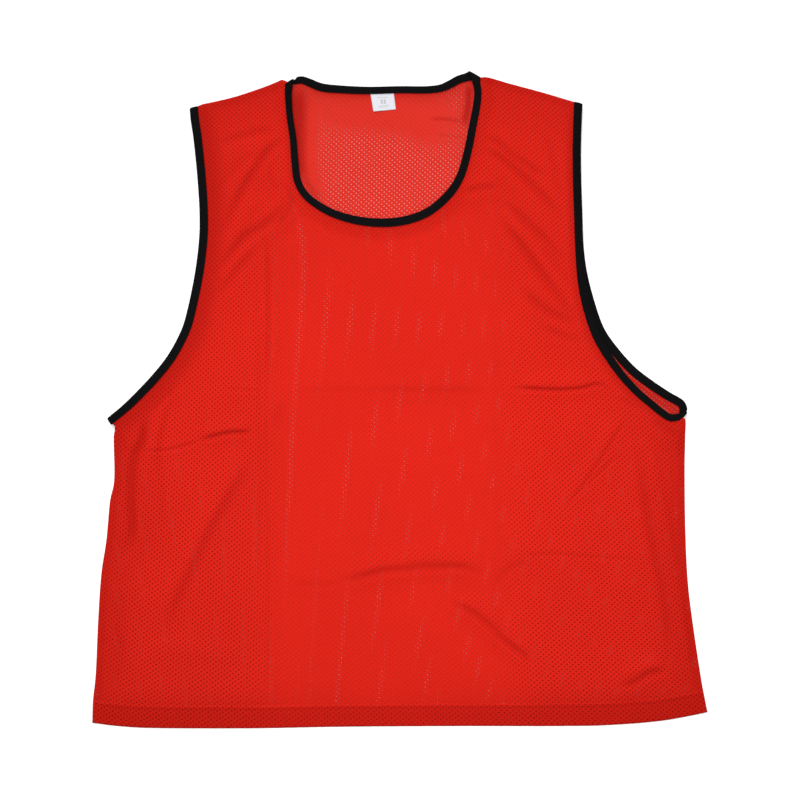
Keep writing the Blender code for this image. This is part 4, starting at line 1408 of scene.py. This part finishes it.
    def turned_layer(self, name: str, above: float, finish: bpy.types.Material) -> bpy.types.Object:
        """The turned-in layer of the hem.

        Args:
            name: the piece's name.
            above: height of its middle over the panel's own.
            finish: the cloth's material.

        Returns:
            The piece.
        """
        ends, first, rows = 2, 2.8, 9
        levels = np.linspace(first, HEM_DEPTH, rows)
        grid = np.stack([self.hem.beside(level, ROW_STEP)[ends:-ends] for level in levels])
        places = grid.reshape(-1, 2)
        cut = self.lattice.cut(places) * (1.0, -1.0)
        heights = self.height(places) + above
        return self.finished(name, places, heights, grid_faces(rows, grid.shape[1]), cut, finish)

    def on_top(self, route: Array, sink: float) -> Array:
        """Lay a route in plan on the upper side of the cloth, sunk by a little."""
        return np.column_stack((route, self.height(route) + MESH_WALL / 2 - sink))


@dataclass
class BackPanel(Panel):
    """The back, which lies on the surface."""

    shut: tuple[Trough, ...] = BACK_SHUT

    def height(self, places: Array) -> Array:
        """Flat but for the folds that show inside the neck."""
        hem, _ = self.hem_lift(places)
        level = BACK_Z + np.maximum(sunk(places, self.valleys), 0.0) + 0.04 * hem
        level += 0.04 * (1.0 + ripple(places, 38.0, SEED + 3)) * (1.0 - hem)
        return self.beside_tapes(places, level)

    def loose(self, places: Array) -> Array:
        """The back lies on the surface, but for its folds."""
        in_folds = 0.8
        return in_folds * deepened(places, self.valleys)

    def drawn(self, places: Array) -> Array:
        """The holes are half shut where the cloth is pulled tight and in its folds."""
        open_share, in_folds = 0.72, 0.5
        tight = deepened(places, lined(self.shut))
        return open_share * (1.0 - np.maximum(tight, in_folds * deepened(places, self.valleys)))


@dataclass
class FrontPanel(Panel):
    """The front, which lies on the back."""

    back: BackPanel | None = None
    loft: float = 2.0  # how far its sides and its yoke stand off the back
    middle_half: float = 105.0  # half the width that lies close to the back
    middle_x: float = -10.0
    yoke_y: float = 190.0
    loft_reach: float = 70.0
    roll: float = 2.4  # over which it rolls down at a seam
    fold_ease: float = 12.0  # in from a seam, before the folds are full
    broad_wave: tuple[float, float] = (0.25, 74.0)  # height and size of its waves
    fine_wave: tuple[float, float] = (0.05, 24.0)
    seam_wave: tuple[float, float, float] = (0.2, 9.0, 6.0)  # and how far in a seam's reach

    def loose(self, places: Array) -> Array:
        """It lies close to the back in the middle, and off it at the sides and the yoke."""
        aside = ease((abs(places[:, 0] - self.middle_x) - self.middle_half) / self.loft_reach)
        above = ease((places[:, 1] - self.yoke_y) / self.loft_reach)
        return np.maximum(aside, above)

    def drawn(self, places: Array) -> Array:
        """The holes are open where it lies close, and less so in the loose upper half."""
        open_share, less, half_from, half_reach = 0.92, 0.5, -120.0, 200.0
        return open_share - less * self.loose(places) * ease((places[:, 1] - half_from) / half_reach)

    def height(self, places: Array) -> Array:
        """On the back, lifted by its folds and hem, and rolled down to its seams."""
        inward = self.inwards(places)
        hem, sewing = self.hem_lift(places)
        below = self.back.height(places)
        free = ease(inward / self.fold_ease)
        lofty = self.loose(places) * ease(inward / 40.0)
        base = BACK_Z + LAYER_STEP + 0.02 + 3 * HEM_STEP * hem + sewing + self.loft * lofty * (1.0 - hem)
        (broad, broad_size), (fine, fine_size) = self.broad_wave, self.fine_wave
        waves = broad * ripple(places, broad_size, SEED) * (0.4 + lofty)
        waves += fine * ripple(places, fine_size, SEED + 1)
        seam, seam_size, seam_reach = self.seam_wave
        folds = relief(places, self.ridges) + sunk(places, self.valleys)
        base += (folds + waves) * free * (1.0 - 0.8 * hem)
        base += seam * ripple(places, seam_size, SEED + 2) * np.exp(-inward / seam_reach)
        base = np.maximum(base, below + LAYER_STEP)
        base = self.beside_tapes(places, base)
        edge = below + LAYER_STEP
        round_share = np.sqrt(1.0 - (1.0 - np.clip(inward / self.roll, 0.0, 1.0)) ** 2)
        return blend(edge, base, round_share)


def stitch_tree() -> bpy.types.NodeTree:
    """Geometry nodes that lay stitches along the host's edges."""
    inputs = {
        "Geometry": "Geometry", "Pitch": "Float", "Length": "Float", "Radius": "Float",
        "Wobble": "Float", "Seed": "Int", "Thread": "Material",
    }
    nodes = new_group("stitch_rows", "GeometryNodeTree", inputs, {"Geometry": "Geometry"})
    given = nodes.tree.nodes["input"].outputs
    curve = nodes.add("GeometryNodeMeshToCurve", {"Mesh": given["Geometry"]})
    route = nodes.add("GeometryNodeResampleCurve", {"Curve": curve.outputs[0]})
    route.mode = "LENGTH"
    nodes.link(given["Pitch"], route.inputs["Length"])
    ball = nodes.add("GeometryNodeMeshUVSphere", {"Segments": 7, "Rings": 5, "Radius": 1.0})
    run = nodes.add("GeometryNodeInputTangent")
    turn = nodes.add("FunctionNodeAlignRotationToVector", {"Vector": run.outputs[0]}, axis="Z")
    random = nodes.add("FunctionNodeRandomValue", data_type="FLOAT_VECTOR")
    nodes.link(given["Seed"], random.inputs["Seed"])
    wobble = nodes.vector("SUBTRACT", random.outputs[0], (0.5, 0.5, 0.5))
    angle = nodes.add("ShaderNodeVectorMath", {0: wobble, "Scale": given["Wobble"]}, operation="SCALE")
    euler = nodes.add("FunctionNodeEulerToRotation", {0: angle.outputs[0]})
    turned = nodes.add(
        "FunctionNodeRotateRotation", {"Rotation": turn.outputs[0], "Rotate By": euler.outputs[0]}
    )
    half = nodes.math("MULTIPLY", given["Length"], 0.5)
    size = nodes.add("ShaderNodeCombineXYZ", {"X": given["Radius"], "Y": given["Radius"], "Z": half})
    placed = nodes.add(
        "GeometryNodeInstanceOnPoints",
        {
            "Points": route.outputs[0],
            "Instance": ball.outputs["Mesh"],
            "Rotation": turned.outputs[0],
            "Scale": size.outputs[0],
        },
    )
    real = nodes.add("GeometryNodeRealizeInstances", {0: placed.outputs[0]})
    smooth = nodes.add("GeometryNodeSetShadeSmooth", {0: real.outputs[0]})
    dressed = nodes.add("GeometryNodeSetMaterial", {0: smooth.outputs[0], "Material": given["Thread"]})
    nodes.link(dressed.outputs[0], nodes.tree.nodes["output"].inputs[0])
    return nodes.tree


@dataclass(frozen=True)
class Stitch:
    """One kind of stitch, in metres."""

    pitch: float
    length: float
    radius: float
    wobble: float = 0.12

    def sew(
        self, name: str, routes: list[Array], tree: bpy.types.NodeTree, thread: bpy.types.Material
    ) -> bpy.types.Object:
        """Sew rows along routes.

        Args:
            name: the piece's name.
            routes: points of each row, in plan millimetres and height.
            tree: the stitches' geometry nodes.
            thread: the thread's material.

        Returns:
            All the stitches as one mesh.
        """
        host = bpy.data.meshes.new(name + "_routes")
        points, edges = [], []
        for route in routes:
            first = len(points)
            points += [tuple(point) for point in (route + SHIFT) * MM]
            edges += [(number, number + 1) for number in range(first, len(points) - 1)]
        host.from_pydata(points, edges, [])
        item = bpy.data.objects.new(name, host)
        bpy.context.scene.collection.objects.link(item)
        modifier = item.modifiers.new("stitches", "NODES")
        modifier.node_group = tree
        values = {
            "Pitch": self.pitch, "Length": self.length, "Radius": self.radius,
            "Wobble": self.wobble, "Seed": SEED, "Thread": thread,
        }
        for socket in tree.interface.items_tree:
            if socket.in_out == "INPUT" and socket.name in values:
                modifier[socket.identifier] = values[socket.name]
        graph = bpy.context.evaluated_depsgraph_get()
        mesh = bpy.data.meshes.new_from_object(item.evaluated_get(graph))
        item.modifiers.remove(modifier)
        item.data = mesh
        bpy.data.meshes.remove(host)
        return item


@dataclass
class SizeLabel:
    """A white label caught under the back of the neck."""

    back: BackPanel
    wall: float = 0.28
    tuck: float = 2.6  # how far it runs into the tape
    columns: int = 26
    rows: int = 22
    curl: float = 0.7  # how far its free corners lift

    def build(self, finish: bpy.types.Material) -> bpy.types.Object:
        """Lay the label on the back panel.

        Args:
            finish: the label's material.

        Returns:
            The label.
        """
        top_left, top_right, low_right, low_left = (np.array(corner, float) for corner in LABEL_CORNERS)
        up = unit(top_left - low_left)
        top_left, top_right = top_left + up * self.tuck, top_right + up * self.tuck
        across, down = np.meshgrid(np.linspace(0, 1, self.columns), np.linspace(0, 1, self.rows))
        across, down = across.reshape(-1, 1), down.reshape(-1, 1)
        places = blend(blend(top_left, top_right, across), blend(low_left, low_right, across), down)
        lift = MESH_WALL / 2 + self.wall / 2 + 0.06
        bend = self.curl * down[:, 0] ** 3 * (0.35 + 1.3 * abs(across[:, 0] - 0.5))
        wave = 0.25 * np.sin(across[:, 0] * math.pi * 1.4 + 0.6) * down[:, 0]
        middle = np.column_stack((places, self.back.height(places) + lift + bend + wave))
        faces = grid_faces(self.rows, self.columns)[:, ::-1]
        points, closed = thicken(middle, faces, self.wall)
        width, length = math.dist(top_left, top_right), math.dist(top_left, low_left)
        cut = np.column_stack((across * width, down * length - self.tuck)) * MM
        item = make_mesh("woven_label", points, closed, np.tile(cut, (2, 1)))
        item.data.materials.append(finish)
        return item


@dataclass
class Studio:
    """Pale floor, soft light and the camera straight above."""

    frame_width: float = 0.88
    lens: float = 85.0
    sensor: float = 36.0
    floor_size: float = 6.0
    sky: float = 0.58
    key_strength: float = 2.1
    key_spread: float = 26.0
    key_from: tuple[float, float, float] = (-0.25, 0.95, 1.0)
    pool_power: float = 100.0
    pool_size: float = 0.22
    pool_height: float = 2.2
    pool_angle: float = 34.0

    def build(self, floor: bpy.types.Material) -> None:
        """Make the floor, the lights and the camera."""
        half = self.floor_size / 2
        mesh = bpy.data.meshes.new("floor")
        corners = [(-half, -half, 0.0), (half, -half, 0.0), (half, half, 0.0), (-half, half, 0.0)]
        mesh.from_pydata(corners, [], [(0, 1, 2, 3)])
        mesh.materials.append(floor)
        ground = bpy.data.objects.new("floor", mesh)
        bpy.context.scene.collection.objects.link(ground)
        self.light()
        self.camera()

    def light(self) -> None:
        """A soft light from beyond the neck and a pool of light from above, under an even sky."""
        lamp = bpy.data.lights.new("key", "SUN")
        lamp.angle = math.radians(self.key_spread)
        lamp.energy = self.key_strength
        key = bpy.data.objects.new("key", lamp)
        key.location = self.key_from
        key.rotation_euler = (-Vector(self.key_from)).to_track_quat("-Z", "Y").to_euler()
        bpy.context.scene.collection.objects.link(key)
        spot = bpy.data.lights.new("pool", "SPOT")
        spot.spot_size = math.radians(self.pool_angle)
        spot.spot_blend = 1.0
        spot.shadow_soft_size = self.pool_size
        spot.energy = self.pool_power
        pool = bpy.data.objects.new("pool", spot)
        pool.location = (SHIFT[0] * MM, SHIFT[1] * MM, self.pool_height)
        bpy.context.scene.collection.objects.link(pool)
        world = bpy.data.worlds.new("sky")
        world.use_nodes = True
        background = world.node_tree.nodes["Background"]
        background.inputs["Color"].default_value = (1.0, 1.0, 1.0, 1.0)
        background.inputs["Strength"].default_value = self.sky
        bpy.context.scene.world = world
        bpy.context.scene.view_settings.view_transform = "Standard"

    def camera(self) -> None:
        """Look straight down, with the tables' origin in the middle of the frame."""
        lens = bpy.data.cameras.new("camera")
        lens.lens = self.lens
        lens.sensor_width = self.sensor
        height = self.frame_width * self.lens / self.sensor
        camera = bpy.data.objects.new("camera", lens)
        camera.location = (SHIFT[0] * MM, SHIFT[1] * MM, height + 0.003)
        bpy.context.scene.collection.objects.link(camera)
        bpy.context.scene.camera = camera


def settle(item: bpy.types.Object, slot: Slot, *nodes: str) -> None:
    """Put a piece on the bib and hide the solids that it stands for."""
    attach(item, "root")
    if nodes:
        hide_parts(*nodes)
    LOG.info("%s: %d faces", item.name, len(item.data.polygons))


def main() -> None:
    """Build the bib's pieces in the order they are sewn, then the studio."""
    logging.basicConfig(level=logging.INFO, format="%(message)s")
    effects = Effects()
    front_knit = MeshKnit("red_mesh_front", (0.53, 0.0105, 0.0045), 0.00573, 0.00532).material(effects)
    back_knit = MeshKnit("red_mesh_back", (0.55, 0.022, 0.013), 0.0056, 0.0052).material(effects)
    tape = TapeKnit().material(effects)
    red_thread = Thread("red_thread", (0.45, 0.01, 0.005)).material(effects)
    black_thread = Thread("black_thread", (0.004, 0.004, 0.0045)).material(effects)
    sewing = stitch_tree()

    left_back_rows = tuple(row._replace(z=BACK_BAND_Z) for row in reversed(ARM_LEFT))
    neck = Binding("neck_tape", NECK_FRONT, NECK_BACK, "neck_left", "neck_right")
    left = Binding("armhole_tape_left", ARM_LEFT, left_back_rows, "shoulder_left", "armpit_left")
    right = Binding("armhole_tape_right", ARM_RIGHT_FRONT, ARM_RIGHT_BACK, "shoulder_right", "armpit_right")

    back = BackPanel(
        "back_cloth",
        (neck.back, left.back.reversed(), right.back),
        (),
        BACK_TROUGHS,
        Lattice(row_slope=-0.13, lean=-0.01),
        band_reach=(15.0, 15.0, 15.0),
        # Painted shade beside the back's tapes.
        painted_tape_shade=((0.55, 1.0, 7.0), (0.0, 1.0, 5.0), (0.8, 5.0, 8.0)),
    )
    front = FrontPanel(
        "front_cloth",
        (neck.front.reversed(), left.front, right.front.reversed()),
        FRONT_FOLDS,
        FRONT_TROUGHS,
        Lattice(
            row_slope=0.08, row_bow=0.000109, row_bow_rate=0.00000152, lean=0.025, fan=0.0003,
            yoke_squeeze=0.106,
        ),
        band_reach=(15.0, 40.0, 40.0),
        back=back,
    )
    back_cloth, front_cloth = back.build(back_knit), front.build(front_knit)
    back_turn = back.turned_layer("back_hem_turn", HEM_STEP, back_knit)
    front_turn = front.turned_layer("front_hem_turn", -HEM_STEP, front_knit)
    settle(back_cloth, Slot.MESH, "back_panel")
    settle(front_cloth, Slot.MESH, "front_panel")
    settle(back_turn, Slot.MESH)
    settle(front_turn, Slot.MESH)

    topstitch = Stitch(0.0027, 0.0023, 0.00019)
    nodes = ("neck_binding", "armhole_binding_left", "armhole_binding_right")
    for binding, node in zip((neck, left, right), nodes):
        band = binding.build(tape)
        settle(band, Slot.TAPE, node)
        rows = topstitch.sew(binding.name + "_stitches", binding.stitch_routes(), sewing, black_thread)
        settle(rows, Slot.TAPE)

    hem_stitch = Stitch(0.0031, 0.0027, 0.00021)
    for panel, name in ((front, "front_hem_stitches"), (back, "back_hem_stitches")):
        routes = [panel.on_top(panel.hem.beside(row, 1.5)[2:-2], 0.05) for row in HEM_ROWS]
        settle(hem_stitch.sew(name, routes, sewing, red_thread), Slot.MESH)

    label = SizeLabel(back).build(Satin().material(effects))
    settle(label, Slot.LABEL, "size_label")
    Studio().build(Floor().material(effects))


if __name__ == "__main__":
    main()
